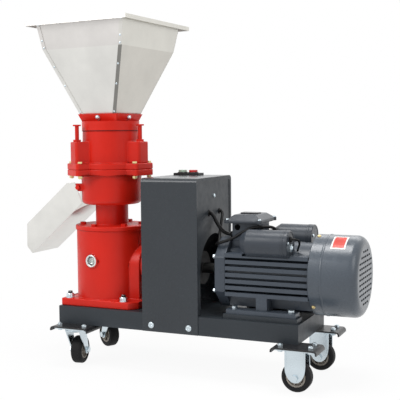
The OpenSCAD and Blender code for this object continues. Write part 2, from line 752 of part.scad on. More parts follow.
// Bevel gears: their pitch cones meet where the two axes cross
mesh_r = crown_n * gear_module / 2;
mesh_out = mesh_r + gear_face / 2;
mesh_in = mesh_r - gear_face / 2;
gear_ratio = pinion_n / crown_n;
tooth_up_share = 0.8;
tooth_down_share = 1.15;
tooth_w_share = 0.36;
tooth_tip_share = 0.67;
pinion_root_share = 0.71;
pinion_tip_share = 0.21;
gear_taper = mesh_in / mesh_out;
out_module = gear_module * mesh_out / mesh_r;
crown_t = 14;
crown_hub_r = 30;
crown_hub_h = 14;
module crown_gear() color(bare) on_column() {
  pitch_z = mesh_out * gear_ratio;
  root_half = out_module * PI * tooth_w_share / 2;
  tip_half = root_half * tooth_tip_share;
  root_v = pitch_z + out_module * tooth_down_share;
  tip_v = pitch_z - out_module * tooth_up_share;
  // The teeth hang under the disc, and each is a wedge that points to the cones' apex
  translate([0, 0, drive_z]) for (k = [0 : crown_n - 1]) rotate([0, 0, (k + 0.5) * 360 / crown_n])
    translate([mesh_out, 0, 0]) rotate([0, -90, 0]) linear_extrude(gear_face, scale = gear_taper) polygon([
      [root_v + overrun, -root_half], [tip_v, -tip_half], [tip_v, tip_half], [root_v + overrun, root_half]]);
  translate([0, 0, drive_z]) rotate_extrude() polygon([
    [crown_hub_r, root_v * gear_taper], [mesh_in, root_v * gear_taper], [mesh_out, root_v],
    [mesh_out, root_v + crown_t], [crown_hub_r, root_v + crown_t + crown_hub_h],
    [shaft_r + run_gap, root_v + crown_t + crown_hub_h], [shaft_r + run_gap, root_v * gear_taper]]);
}
pinion_hub_l = 7;
pinion_step = 1.5;
module input_shaft() color(bare) on_column() on_axis() {
  pitch_r = mesh_out * gear_ratio;
  root_r = pitch_r - out_module * tooth_down_share;
  tip_r = pitch_r + out_module * tooth_up_share;
  tooth_a = 360 / pinion_n * tooth_w_share;
  tooth_corners = [
    [root_r, -tooth_a * pinion_root_share], [tip_r, -tooth_a * pinion_tip_share],
    [tip_r, tooth_a * pinion_tip_share], [root_r, tooth_a * pinion_root_share]];
  translate([0, 0, mesh_out]) mirror([0, 0, 1]) linear_extrude(gear_face, scale = gear_taper)
    polygon([for (k = [0 : pinion_n - 1], c = tooth_corners) let (a = 180 + k * 360 / pinion_n + c[1])
      [c[0] * cos(a), c[0] * sin(a)]]);
  translate([0, 0, mesh_out - overrun]) cylinder(r = root_r - pinion_step, h = pinion_hub_l);
  translate([0, 0, mesh_out]) cylinder(r = shaft_r, h = coupling_x - column_x - mesh_out + coupling_hub_l);
}
coupling_mid = (guard_x + motor_x) / 2 - spider_l;
coupling_x = coupling_mid - coupling_hub_l - spider_l / 2;
coupling_x2 = coupling_mid + spider_l / 2;

// Deep groove bearings, each as its two rings with the balls' row between them
race_share = 0.3;
module bearing(r_in) {
  race = (bearing_d / 2 - r_in) * race_share;
  mid_r = (bearing_d / 2 + r_in) / 2;
  tube(bearing_d / 2, bearing_d / 2 - race, bearing_w);
  tube(r_in + race, r_in + run_gap, bearing_w);
  translate([0, 0, bearing_w / 3]) tube(mid_r + race, mid_r - race, bearing_w / 3);
}
upper_bearing_z = pot_z - bearing_w - pot_floor_t;
module shaft_bearings() color(bare) on_column() {
  translate([0, 0, foot_top - bearing_w]) bearing(shaft_r);
  translate([0, 0, house_top - top_flange_t + run_gap]) bearing(shaft_r);
  translate([0, 0, upper_bearing_z]) bearing(shaft_r);
  on_axis() translate([0, 0, pad_reach - cover_spigot - bearing_w - seat_gap]) bearing(shaft_r);
}

// Painted nuts, screws and stubs of the head and gearbox
flange_screw_n = 6;
flange_screw_r = 82;
cover_screw_n = 6;
plug_z_share = 0.55;
lock_nut_share = 1.2;
module painted_fasteners() color(red) on_column() {
  for (a = lug_angles) rotate([0, 0, a]) translate([adjuster_r, 0, boss_top]) difference() {
    hex_head(adjuster_d * lock_nut_share, lock_nut_h);
    translate([0, 0, -overrun]) cylinder(r = adjuster_d / 2 + run_gap, h = lock_nut_h + 2 * overrun);
  }
  for (k = [0 : flange_screw_n - 1]) rotate([0, 0, (k + 0.5) * 360 / flange_screw_n + head_turn])
    translate([flange_screw_r, 0, neck_z]) hex_head(m10, m10 * head_h_share);
  for (k = [0 : cover_screw_n - 1]) on_axis() rotate([0, 0, k * 360 / cover_screw_n])
    translate([cover_r - m8, 0, pad_reach + cover_t]) hex_head(m8, m8 * head_h_share);
  for (s = [-1, 1]) translate([-ear_bolt_x, s * (chute_w / 2), ear_z]) rotate([-s * 90, 0, 0])
    bolt_down(m8, 2 * sheet_t + ear_t + seat_gap);
  rotate([0, 0, 180 + 2 * head_turn]) translate([neck_r, 0, neck_z + neck_h * plug_z_share])
    rotate([0, 90, 0]) cylinder(r = m6 / 2, h = m6);
}

// Hopper: a ring with a flared collar, and four bent sheets above it
module frustum(s0, s1, h) linear_extrude(h, scale = s1 / s0) square(s0, center = true);
// A tapered square tube: its wall is measured level, inside its stated sides
module frustum_shell(s0, s1, h, wall) {
  slope = (s1 - s0) / h;
  difference() {
    frustum(s0, s1, h);
    translate([0, 0, -overrun])
      frustum(s0 - 2 * wall - slope * overrun, s1 - 2 * wall + slope * overrun, h + 2 * overrun);
  }
}
collar_t = 4;
hopper_gap = 0.2;
feed_side = collar_foot_side - 2 * collar_t - 2 * hopper_gap;
collar_slope = (collar_side - collar_foot_side) / collar_h;
hopper_slope = (bend_side - feed_side) / taper_h;
module hopper_ring() color(red) on_column() {
  translate([0, 0, chamber_top]) difference() {
    cylinder(r = hopper_ring_r, h = hopper_ring_h);
    translate([0, 0, -overrun]) cylinder(r = chamber_in_r, h = hopper_ring_h - collar_t + overrun);
    rotate([0, 0, hopper_turn]) translate([-feed_side / 2, -feed_side / 2, 0])
      cube([feed_side, feed_side, hopper_ring_h + overrun]);
    translate([0, 0, -overrun])
      tube(hopper_ring_r + overrun, hopper_ring_r - seam_depth, overrun + seam_depth);
  }
  translate([0, 0, collar_z]) rotate([0, 0, hopper_turn])
    frustum_shell(collar_foot_side, collar_side, collar_h, collar_t);
}
seam_depth = 1;
module hopper_shell() {
  translate([0, 0, collar_z + hopper_gap]) frustum_shell(feed_side, bend_side, taper_h - hopper_gap, sheet_t);
  translate([0, 0, bend_z]) frustum_shell(bend_side, mouth_side, band_h, sheet_t);
  translate([0, 0, rim_z - sheet_t]) difference() {
    translate([-rim_side / 2, -rim_side / 2, 0]) cube([rim_side, rim_side, sheet_t]);
    mouth_in = mouth_side - 2 * sheet_t;
    translate([0, 0, -overrun]) frustum(mouth_in, mouth_in, sheet_t + 2 * overrun);
  }
  translate([0, 0, rim_z - rim_lip]) frustum_shell(rim_side, rim_side, rim_lip, sheet_t);
}
module hopper_panel(turn) color(steel) on_column() rotate([0, 0, hopper_turn]) intersection() {
  hopper_shell();
  rotate([0, 0, turn]) translate([0, 0, chamber_top]) linear_extrude(rim_z)
    polygon([[0, 0], [rim_side, -rim_side], [rim_side, rim_side]]);
}
module hopper_right() hopper_panel(0);
module hopper_back() hopper_panel(90);
module hopper_left() hopper_panel(180);
module hopper_front() hopper_panel(270);
rivet_n = 5;
rivet_h_share = 0.33;
seam_in = 9;
module hopper_fasteners() color(zinc) on_column() rotate([0, 0, hopper_turn]) {
  lean = atan(hopper_slope / 2);
  // Rivets along the corner seams, on the front and back sheets
  for (turn = [0, 180], s = [-1, 1], k = [1 : rivet_n]) rotate([0, 0, turn]) {
    z = taper_h * k / (rivet_n + 1);
    half = (feed_side + hopper_slope * z) / 2;
    translate([s * (half - seam_in), -half, collar_z + z]) rotate([90 + lean, 0, 0])
      cylinder(r = rivet_d / 2, h = rivet_d * rivet_h_share);
  }
  // Bolts that hold the sheets to the collar
  collar_lean = atan(collar_slope / 2);
  for (turn = [0 : 90 : 270]) rotate([0, 0, turn])
    translate([0, -(collar_foot_side + collar_side) / 4, collar_z + collar_h / 2])
      rotate([90 + collar_lean, 0, 0]) hex_head(m8, m8 * head_h_share);
}

// Chute: an open trough under the pot's window, drawn along its floor and square to it
chute_top_x = 57;
chute_lip_share = 0.35;
chute_lip_out = chute_wall_h * chute_lip_share * sin(chute_slope);
chute_len = (chute_reach - chute_top_x - chute_lip_out) / cos(chute_slope);
chute_nose_share = 0.58;
chute_back_share = 0.28;
chute_shoulder_share = 0.8;
chute_in_half = chute_w / 2 - sheet_t - seat_gap;
chute_tongue = 30;
chute_tongue_gap = 12;
ear_t = 5;
ear_half = 11;
ear_bolt_x = 69;
ear_z_share = 0.59;
ear_z = pot_z + pot_h * ear_z_share;
chute_ear_reach = ear_bolt_x + ear_half;
module in_chute() translate([-chute_top_x, 0, pot_z + chute_seat]) rotate([0, -chute_slope, 0])
  mirror([1, 0, 0]) children();
chute_seat = 3;
module discharge_chute() color(steel) on_column() in_chute() {
  h = chute_wall_h;
  for (s = [-1, 1]) translate([0, s > 0 ? chute_w / 2 : -chute_w / 2 + sheet_t, 0]) rotate([90, 0, 0])
    linear_extrude(sheet_t) polygon([
      [0, 0], [chute_len, 0], [chute_len, h * chute_lip_share],
      [chute_len - h * chute_nose_share, h], [0, h], [-h * chute_back_share, h * chute_shoulder_share]]);
  tongue_r = (chute_w * chute_w / 4 + chute_tongue * chute_tongue) / (2 * chute_tongue);
  floor_in = chute_tongue_gap + chute_tongue;
  linear_extrude(sheet_t) {
    translate([floor_in, -chute_w / 2]) square([chute_len - floor_in, chute_w]);
    intersection() {
      translate([chute_tongue_gap + tongue_r, 0]) circle(r = tongue_r);
      translate([chute_tongue_gap, -chute_w / 2]) square([chute_tongue, chute_w]);
    }
  }
}

// Guard over the coupling
guard_inset = 2;
screw_rise = 17;
screw_in = 26;
screw_z = tray_z + screw_rise;
screw_xs = [guard_x + screw_in, guard_end - screw_in];
module guard_outline(inset) {
  w = guard_w - 2 * inset;
  top = guard_top - inset;
  r = guard_bend_r - inset;
  difference() {
    union() {
      translate([-w / 2, tray_z]) square([w, top - r - tray_z]);
      translate([-w / 2 + r, top - r - overrun]) square([w - 2 * r, r + overrun]);
      for (s = [-1, 1]) translate([s * (w / 2 - r), top - r]) circle(r = r);
    }
  }
}
module guard_sheet(x, t) translate([x, 0, 0]) rotate([90, 0, 90]) linear_extrude(t) children();
module guard_wrap() color(dark) difference() {
  guard_sheet(guard_x, guard_l) difference() {
    guard_outline(0);
    guard_outline(guard_t);
    translate([-tray_w / 2, tray_z - overrun]) square([tray_w, tray_h + overrun]);
  }
  for (x = screw_xs, s = [-1, 1]) translate([x, s * tray_w / 2, screw_z]) rotate([s * -90, 0, 0])
    translate([0, 0, -overrun]) cylinder(r = m8 / 2 + bolt_gap, h = guard_t + 2 * overrun);
  for (x = [start_x, stop_x]) translate([x, switch_y, guard_top - 2 * guard_t])
    cylinder(r = stem_r + turn_gap, h = 3 * guard_t);
}
input_hole_r = 66;
lead_hole_r = 8;
lead_ys = [-34, 36];
lead_hole_rise = 57;
lead_hole_z = drive_z + arch_r + lead_hole_rise;
panel_screw_drop = 50;
module guard_side_panels() color(dark) {
  guard_sheet(guard_x + guard_inset, guard_t) difference() {
    intersection() {
      guard_outline(guard_t);
      translate([-guard_w, tray_top]) square([2 * guard_w, guard_h]);
    }
    translate([0, drive_z]) circle(r = input_hole_r);
  }
  guard_sheet(guard_end - guard_inset - guard_t, guard_t) difference() {
    intersection() {
      guard_outline(guard_t);
      translate([-guard_w, tray_top]) square([2 * guard_w, guard_h]);
    }
    translate([0, drive_z]) circle(r = arch_r);
    translate([-arch_r, tray_top - overrun]) square([2 * arch_r, drive_h + overrun]);
    for (y = lead_ys) translate([y, lead_hole_z]) circle(r = lead_hole_r);
  }
}
screw_head_r = 8;
screw_head_h = 4;
module guard_screws() color(dark) {
  for (x = screw_xs, s = [-1, 1]) translate([x, s * guard_w / 2, screw_z]) rotate([-s * 90, 0, 0]) {
    cylinder(r = screw_head_r, h = screw_head_h);
    translate([0, 0, -guard_t - tray_t - m8]) cylinder(r = m8 / 2, h = guard_t + tray_t + m8 + overrun);
  }
  translate([guard_end - guard_inset, 0, guard_top - panel_screw_drop]) rotate([0, 90, 0])
    cylinder(r = m6, h = m6 / 2);
}

// Switch on top of the guard
switch_in = 8;
switch_back = 34;
switch_x = guard_x + switch_in;
switch_y = tray_w / 2 - switch_back;
start_share = 0.27;
stop_share = 0.69;
start_x = switch_x + switch_l * start_share;
stop_x = switch_x + switch_l * stop_share;
button_r = 12;
stem_r = 6;
bezel_r = 14;
bezel_h = 2;
module switch_box() color(black) difference() {
  union() {
    translate([switch_x, switch_y - switch_w / 2, guard_top]) cube([switch_l, switch_w, switch_h]);
    for (x = [start_x, stop_x]) translate([x, switch_y, guard_top + switch_h - overrun])
      cylinder(r = bezel_r, h = bezel_h + overrun);
  }
  for (x = [start_x, stop_x]) translate([x, switch_y, guard_top]) {
    translate([0, 0, -overrun]) cylinder(r = stem_r + run_gap, h = switch_h + 2 * overrun);
    translate([0, 0, switch_h - button_travel])
      cylinder(r = button_r + run_gap, h = bezel_h + button_travel + overrun);
  }
}
module push_button(x) translate([x, switch_y, guard_top]) {
  translate([0, 0, switch_h + seat_gap]) cylinder(r = button_r, h = button_h);
  translate([0, 0, button_travel + seat_gap]) cylinder(r = stem_r, h = switch_h);
}
module start_button() color(green) push_button(start_x);
module stop_button() color(red) push_button(stop_x);

// Jaw coupling between the two shafts
jaw_n = 3;
jaw_share = 0.4;
spider_hole_r = 14;
spider_core_r = 18;
// A hub stands on z = 0, with its jaws above it, a little inside its round
module coupling_hub(bore_r) {
  jaw_in = spider_core_r + seat_gap;
  jaw_out = coupling_r - seat_gap;
  tube(coupling_r, bore_r + run_gap, coupling_hub_l);
  for (k = [0 : jaw_n - 1]) rotate([0, 0, k * 360 / jaw_n]) translate([0, 0, coupling_hub_l - overrun])
    rotate_extrude(angle = 360 / jaw_n * jaw_share) translate([jaw_in, 0])
      square([jaw_out - jaw_in, spider_l - turn_gap + overrun]);
}
module coupling_hubs() color(bare) on_axis() {
  translate([0, 0, coupling_x]) coupling_hub(shaft_r);
  translate([0, 0, coupling_x2 + coupling_hub_l]) mirror([0, 0, 1]) rotate([0, 0, 180 / jaw_n])
    coupling_hub(motor_shaft_d / 2);
}
jaw_play_a = 1;
module coupling_spider() color(black) on_axis() translate([0, 0, coupling_x + coupling_hub_l + turn_gap / 2])
  difference() {
    cylinder(r = coupling_r - turn_gap, h = spider_l - turn_gap);
    translate([0, 0, -overrun]) cylinder(r = spider_hole_r, h = spider_l + overrun);
    for (k = [0 : 2 * jaw_n - 1]) rotate([0, 0, k * 180 / jaw_n - jaw_play_a]) translate([0, 0, -overrun])
      rotate_extrude(angle = 360 / jaw_n * jaw_share + 2 * jaw_play_a)
        translate([spider_core_r, 0]) square([coupling_r, spider_l + 2 * overrun]);
  }

// Motor
term_in = 30;
term_x = motor_x + term_in;
term_l = 74;
term_half_w = 40;
term_seat = 2;
term_z = drive_z + motor_tube_r + term_seat;
term_box_h = 47;
term_lid_h = 22;
rotor_r = 46;
rotor_gap = 0.8;
stator_r = motor_tube_r - motor_tube_t;
core_in_share = 0.2;
fan_gap = 12;
fan_hub_r = 20;
fan_r = 84;
fan_w = 26;
fan_blade_n = 9;
fan_blade_t = 2.5;
rear_bell_l = 14;
fan_z = fan_cover_x + rear_bell_l + fan_gap;
module motor_rotor() color(bare) on_axis() {
  translate([0, 0, coupling_x2]) cylinder(r = motor_shaft_d / 2, h = fan_z + fan_w - coupling_x2);
  translate([0, 0, frame_x + motor_l * core_in_share])
    cylinder(r = rotor_r, h = motor_l * (1 - 2 * core_in_share));
}
module cooling_fan() color(black) on_axis() translate([0, 0, fan_z]) {
  tube(fan_hub_r, motor_shaft_d / 2 + run_gap, fan_w);
  difference() {
    cylinder(r = fan_r, h = fan_blade_t);
    translate([0, 0, -overrun]) cylinder(r = fan_hub_r - overrun, h = fan_w);
  }
  for (k = [0 : fan_blade_n - 1]) rotate([0, 0, k * 360 / fan_blade_n])
    translate([fan_hub_r - overrun, -fan_blade_t / 2, fan_blade_t - overrun])
      cube([fan_r - fan_hub_r, fan_blade_t, fan_w - fan_blade_t]);
}
module stator_core() color(bare) on_axis() translate([0, 0, frame_x + motor_l * core_in_share])
  tube(stator_r - seat_gap, rotor_r + rotor_gap, motor_l * (1 - 2 * core_in_share));
fin_t = 10;
fin_n = 7;
fin_pitch = 16.5;
low_fin_in = 5;
foot_rib_in = 40;
foot_rib_drop = 50;
foot_l_share = 0.84;
motor_foot_w = 34;
motor_foot_t = 11;
foot_rib_l = 29;
foot_z = tray_top + rail_h;
module motor_profile() {
  difference() {
    union() {
      circle(r = motor_tube_r);
      // Level fins at the front and the back
      for (s = [-1, 1], k = [0 : fin_n - 1]) {
        v = (k - (fin_n - 1) / 2) * fin_pitch;
        translate([v - fin_t / 2, s > 0 ? 0 : -motor_half]) square([fin_t, motor_half]);
      }
      // Upright fins below
      for (k = [0 : fin_n - 1]) {
        v = (k - (fin_n - 1) / 2) * fin_pitch;
        translate([0, v - fin_t / 2]) square([motor_half - low_fin_in, fin_t]);
      }
    }
    circle(r = motor_tube_r - motor_tube_t);
  }
}
module motor_frame() color(motor_grey) {
  difference() {
    on_axis() translate([0, 0, frame_x]) linear_extrude(motor_l) motor_profile();
    difference() {
      union() {
        capacitor_space(cap_front_x, -cap_y, cap_front_l);
        capacitor_space(cap_rear_x, cap_y, cap_rear_l);
      }
      translate([0, 0, drive_z]) rotate([0, 90, 0]) cylinder(r = motor_tube_r, h = motor_end);
    }
  }
  foot_l = motor_l * foot_l_share;
  for (s = [-1, 1]) difference() {
    union() {
      translate([motor_mid_x - foot_l / 2, s * motor_bolt_dy / 2 - motor_foot_w / 2, foot_z])
        cube([foot_l, motor_foot_w, motor_foot_t]);
      translate([motor_mid_x - foot_rib_l / 2, s > 0 ? foot_rib_in : -motor_half, foot_z])
        cube([foot_rib_l, motor_half - foot_rib_in, drive_z - foot_z - foot_rib_drop]);
    }
    for (p = motor_places) translate([p[0], p[1], foot_z - overrun])
      cylinder(r = m10 / 2 + bolt_gap, h = motor_foot_t + 2 * overrun);
    on_axis() translate([0, 0, frame_x]) cylinder(r = stator_r, h = motor_l);
  }
  translate([term_x, -term_half_w, drive_z]) difference() {
    cube([term_l, 2 * term_half_w, term_z - drive_z]);
    translate([-overrun, term_half_w, 0]) rotate([0, 90, 0])
      cylinder(r = motor_tube_r - motor_tube_t, h = term_l + 2 * overrun);
  }
}
bell_half = 90;
bell_cut = 46;
module bell_outline() difference() {
  square(2 * bell_half, center = true);
  for (sx = [-1, 1], sy = [-1, 1]) translate([sx * bell_half, sy * bell_half]) rotate([0, 0, 45])
    square(bell_cut * sqrt(2), center = true);
}
module motor_end_bells() color(motor_grey) on_axis() {
  difference() {
    union() {
      translate([0, 0, motor_x]) linear_extrude(bell_l) bell_outline();
      translate([0, 0, motor_x - bell_nose]) cylinder(r = bell_boss_r, h = bell_nose + overrun);
    }
    translate([0, 0, motor_x - bell_nose - overrun])
      cylinder(r = motor_shaft_d / 2 + turn_gap, h = bell_l + bell_nose + 2 * overrun);
    translate([0, 0, motor_x + bell_wall]) cylinder(r = stator_r - seat_gap, h = bell_l);
  }
  // The rear bell, which the fan cover is pushed onto
  translate([0, 0, frame_end])
    tube(fan_cover_r - cover_wall - seat_gap, motor_shaft_d / 2 + turn_gap, fan_cover_gap + rear_bell_l);
}
bell_nose = 8;
bell_boss_r = 55;
bell_wall = 10;
cover_wall = 1.6;
cover_round = 22;
// The end's slots stand in upright columns, and none reaches the rounded edge
slot_w = 5;
slot_l = 15;
slot_half_n = 5;
slot_step = 13;
slot_rise = 19.6;
slot_places = [for (i = [-slot_half_n : slot_half_n], j = [-slot_half_n : slot_half_n])
  if (norm([abs(i) * slot_step + slot_w / 2, abs(j) * slot_rise + slot_l / 2]) < fan_cover_r - cover_round)
    [i * slot_step, j * slot_rise]];
groove_at = 29;
groove_d = 1.2;
module fan_cover() color(motor_grey) on_axis() translate([0, 0, fan_cover_x]) difference() {
  rotate_extrude() difference() {
    union() {
      square([fan_cover_r, fan_cover_l - cover_round]);
      square([fan_cover_r - cover_round, fan_cover_l]);
      translate([fan_cover_r - cover_round, fan_cover_l - cover_round]) circle(r = cover_round);
    }
    translate([0, -overrun]) square([fan_cover_r - cover_wall, fan_cover_l - cover_round + overrun]);
    translate([0, -overrun]) square([fan_cover_r - cover_round, fan_cover_l - cover_wall + overrun]);
    translate([fan_cover_r - cover_round, fan_cover_l - cover_round]) circle(r = cover_round - cover_wall);
    translate([fan_cover_r - groove_d, groove_at]) square([2 * groove_d, slot_w / 2]);
  }
  for (p = slot_places) translate([p[0] - slot_w / 2, p[1] - slot_l / 2, fan_cover_l - 2 * cover_wall])
    cube([slot_w, slot_l, 4 * cover_wall]);
}
term_lid_half_w = 60;
term_t = 3;
module terminal_box() color(motor_grey) translate([term_x, -term_half_w, term_z]) difference() {
  cube([term_l, 2 * term_half_w, term_box_h]);
  translate([term_t, term_t, term_t]) cube([term_l - 2 * term_t, 2 * (term_half_w - term_t), term_box_h]);
}
lid_slope = 18;
lid_edge = 8;
// The lid slopes on all four sides: one outline seen from the front, and one from its end
module lid_outline(l) polygon([
  [0, 0], [l, 0], [l, lid_edge], [l - lid_slope, term_lid_h], [lid_slope, term_lid_h], [0, lid_edge]]);
module terminal_lid() color(motor_grey)
  translate([term_x - (term_lid_l - term_l) / 2, 0, term_z + term_box_h])
  intersection() {
    translate([0, term_lid_half_w, 0]) rotate([90, 0, 0]) linear_extrude(2 * term_lid_half_w)
      lid_outline(term_lid_l);
    translate([0, -term_lid_half_w, 0]) rotate([90, 0, 90]) linear_extrude(term_lid_l)
      lid_outline(2 * term_lid_half_w);
  }
cap_rise = 83;
cap_z = drive_z + cap_rise;
cap_y = 81;
cap_front_in = 47;
cap_rear_in = 79;
cap_front_x = frame_x + cap_front_in;
cap_rear_x = frame_x + cap_rear_in;
cap_cone_l = 16;
cap_t = 2;
// The outside of a capacitor cover and its saddle, grown by a gap
module capacitor_form(x, y, l, grow) {
  translate([x + cap_cone_l - grow, y, cap_z]) rotate([0, 90, 0])
    cylinder(r = cap_r + grow, h = l - cap_cone_l + 2 * grow);
  translate([x + cap_cone_l - grow, y, cap_z]) rotate([y > 0 ? -45 : 45, 0, 0])
    translate([0, -cap_saddle - grow, -cap_r - cap_t])
      cube([l - cap_cone_l + 2 * grow, 2 * (cap_saddle + grow), cap_r]);
}
module capacitor_space(x, y, l) {
  capacitor_form(x, y, l, seat_gap);
  translate([x - seat_gap, y, cap_z]) rotate([0, 90, 0]) cylinder(r = cap_r + seat_gap, h = l);
}
module capacitor_cover(x, y, l) difference() {
  union() {
    capacitor_form(x, y, l, 0);
    translate([x, y, cap_z]) rotate([0, 90, 0])
      cylinder(r1 = cap_r * cap_cone_share, r2 = cap_r, h = cap_cone_l);
  }
  translate([0, 0, drive_z]) rotate([0, 90, 0]) cylinder(r = motor_tube_r + seat_gap, h = motor_end);
  translate([x + cap_cone_l, y, cap_z]) rotate([0, 90, 0])
    cylinder(r = cap_r - cap_t, h = l - cap_cone_l - cap_t);
}
cap_saddle = 18;
cap_cone_share = 0.7;
module capacitor_covers() color(motor_grey) {
  capacitor_cover(cap_front_x, -cap_y, cap_front_l);
  capacitor_cover(cap_rear_x, cap_y, cap_rear_l);
}
rail_l = 196;
rail_w = 40;
rail_out = 3;
module motor_rails() color(dark) for (s = [-1, 1]) difference() {
  translate([motor_mid_x - rail_l / 2, s * (motor_bolt_dy / 2 + rail_out) - rail_w / 2, tray_top])
    cube([rail_l, rail_w, rail_h]);
  for (p = motor_places) translate([p[0], p[1], tray_top - overrun])
    cylinder(r = m10 / 2 + bolt_gap, h = rail_h + 2 * overrun);
}
module motor_bolts() color(zinc) for (p = motor_places) translate([p[0], p[1], 0]) {
  translate([0, 0, foot_z + motor_foot_t]) bolt_down(m10, motor_foot_t + rail_h + tray_t + m10);
  translate([0, 0, tray_top - tray_t - m10 * nut_h_share]) nut_on(m10);
}

// Leads between the guard, the terminal box and the capacitors
lead_r = 5;
thin_lead_r = 4;
wire_r = 2.5;
grommet_lip = 3;
lead_sides = 8;
lead_1 = [
  [416, -34, 421], [424, -34, 421], [432, -35.5, 413], [440, -37, 400], [449, -37.5, 386],
  [458, -35, 375], [467, -30, 369], [476, -28, 367], [484.7, -28, 367]];
lead_2 = [
  [416, 36, 421], [424, 36, 421], [430, 29, 413], [433, 14, 394], [435, 1, 374], [438, -13, 356],
  [442, -28, 345], [446, -44, 342], [449, -58, 343], [456, -67, 346], [468, -69, 350],
  [482, -66, 355], [498, -62, 362], [516, -59, 373], [534, -56, 383], [553, -51, 389],
  [573, -48, 391], [590, -43, 391], [599, -36, 387], [598, -28, 382], [589, -24, 379],
  [575, -23, 378], [566, -23, 378], [559.3, -23, 378]];
lead_3 = [
  [654.4, -81, 366], [661, -81, 366], [669, -78, 366], [674, -70, 362],
  [673, -61, 352], [668, -55, 342], [665.5, -51.8, 334]];
lead_side = [0.3, 1, 0.2];
grommet_gap = 0.9;
function spline(p, i, t) = let (
  a = p[max(i - 1, 0)], b = p[i], c = p[i + 1], d = p[min(i + 2, len(p) - 1)])
  0.5 * ((2 * b) + (c - a) * t + (2 * a - 5 * b + 4 * c - d) * t * t + (3 * b - a - 3 * c + d) * t * t * t);
function smooth(p) = concat([for (i = [0 : len(p) - 2], k = [0 : 2]) spline(p, i, k / 3)], [p[len(p) - 1]]);
function unit(v) = v / norm(v);
module lead(points, r) {
  q = smooth(points);
  n = len(q);
  rings = [for (i = [0 : n - 1]) let (
    t = unit(q[min(i + 1, n - 1)] - q[max(i - 1, 0)]),
    side = unit(cross(t, lead_side)),
    up = cross(t, side))
    for (k = [0 : lead_sides - 1]) let (a = k * 360 / lead_sides) q[i] + r * (cos(a) * side + sin(a) * up)];
  faces = concat(
    [[for (k = [0 : lead_sides - 1]) k]],
    [for (i = [0 : n - 2], k = [0 : lead_sides - 1])
      let (a = i * lead_sides + k, b = i * lead_sides + (k + 1) % lead_sides)
      each [[a, a + lead_sides, b + lead_sides], [a, b + lead_sides, b]]],
    [[for (k = [lead_sides - 1 : -1 : 0]) (n - 1) * lead_sides + k]]);
  polyhedron(points = rings, faces = faces);
}
module motor_leads() color(black) {
  lead(lead_1, lead_r);
  lead(lead_2, thin_lead_r);
  lead(lead_3, wire_r);
  for (i = [0, 1]) translate([guard_end - guard_inset, lead_ys[i], lead_hole_z]) rotate([0, 90, 0])
    tube(lead_hole_r + grommet_lip, (i > 0 ? thin_lead_r : lead_r) + grommet_gap, grommet_lip);
}

// Every piece, in its place
placed() base_tray();
placed() caster_brackets();
placed() base_fasteners();
placed() caster_frames();
placed() caster_fork_fl();
placed() caster_fork_bl();
placed() wheel_hub_fl();
placed() wheel_hub_bl();
placed() wheel_hub_fr();
placed() wheel_hub_br();
placed() tyre_fl();
placed() tyre_bl();
placed() tyre_fr();
placed() tyre_br();
placed() gearbox_housing();
placed() sight_glass();
placed() input_cover();
placed() discharge_pot();
placed() painted_fasteners();
placed() pressing_chamber();
placed() chamber_bolts();
placed() adjusting_bolt_a();
placed() adjusting_bolt_b();
placed() adjusting_bolt_c();
placed() roller_carrier();
placed() pressing_roller_a();
placed() pressing_roller_b();
placed() pressing_roller_c();
placed() flat_die();
placed() main_shaft();
placed() crown_gear();
placed() shaft_bearings();
placed() hopper_ring();
placed() hopper_front();
placed() hopper_right();
placed() hopper_back();
placed() hopper_left();
placed() hopper_fasteners();
placed() discharge_chute();
placed() guard_wrap();
placed() guard_side_panels();
placed() guard_screws();
placed() switch_box();
placed() start_button();
placed() stop_button();
placed() input_shaft();
placed() coupling_hubs();
placed() coupling_spider();
placed() motor_rotor();
placed() cooling_fan();
placed() motor_frame();
placed() stator_core();
placed() motor_end_bells();
placed() fan_cover();
placed() terminal_box();
placed() terminal_lid();
placed() capacitor_covers();
placed() motor_rails();
placed() motor_bolts();
placed() motor_leads();
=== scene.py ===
"""Looks of the feed pellet mill: materials, rounded castings and the small details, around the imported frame."""
import json
import math

import bmesh
import bpy
from mathutils import Matrix, Vector


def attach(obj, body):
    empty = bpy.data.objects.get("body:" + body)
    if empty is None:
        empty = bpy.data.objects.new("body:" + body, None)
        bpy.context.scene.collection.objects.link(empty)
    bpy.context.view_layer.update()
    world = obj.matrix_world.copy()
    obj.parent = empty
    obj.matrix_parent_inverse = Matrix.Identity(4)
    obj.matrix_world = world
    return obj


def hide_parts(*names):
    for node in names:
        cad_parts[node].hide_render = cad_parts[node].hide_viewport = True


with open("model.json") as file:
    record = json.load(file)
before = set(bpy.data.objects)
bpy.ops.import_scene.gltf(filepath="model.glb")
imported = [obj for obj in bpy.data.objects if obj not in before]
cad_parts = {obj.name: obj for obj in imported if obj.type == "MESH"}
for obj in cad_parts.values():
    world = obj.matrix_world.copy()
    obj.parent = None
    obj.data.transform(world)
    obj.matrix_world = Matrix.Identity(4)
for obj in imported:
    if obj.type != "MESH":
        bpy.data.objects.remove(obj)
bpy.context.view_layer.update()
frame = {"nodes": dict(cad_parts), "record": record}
MM = 0.001
NODES = frame["nodes"]

# Camera, from the photograph's own perspective
PHOTO_PX = 400
FOCAL_PX = 839.703
SENSOR_MM = 36.0
YAW, PITCH, ROLL = math.radians(23.892), math.radians(4.199), math.radians(-0.494)
CAMERA_AT = Vector((0.9429, -2.054, 0.6169))


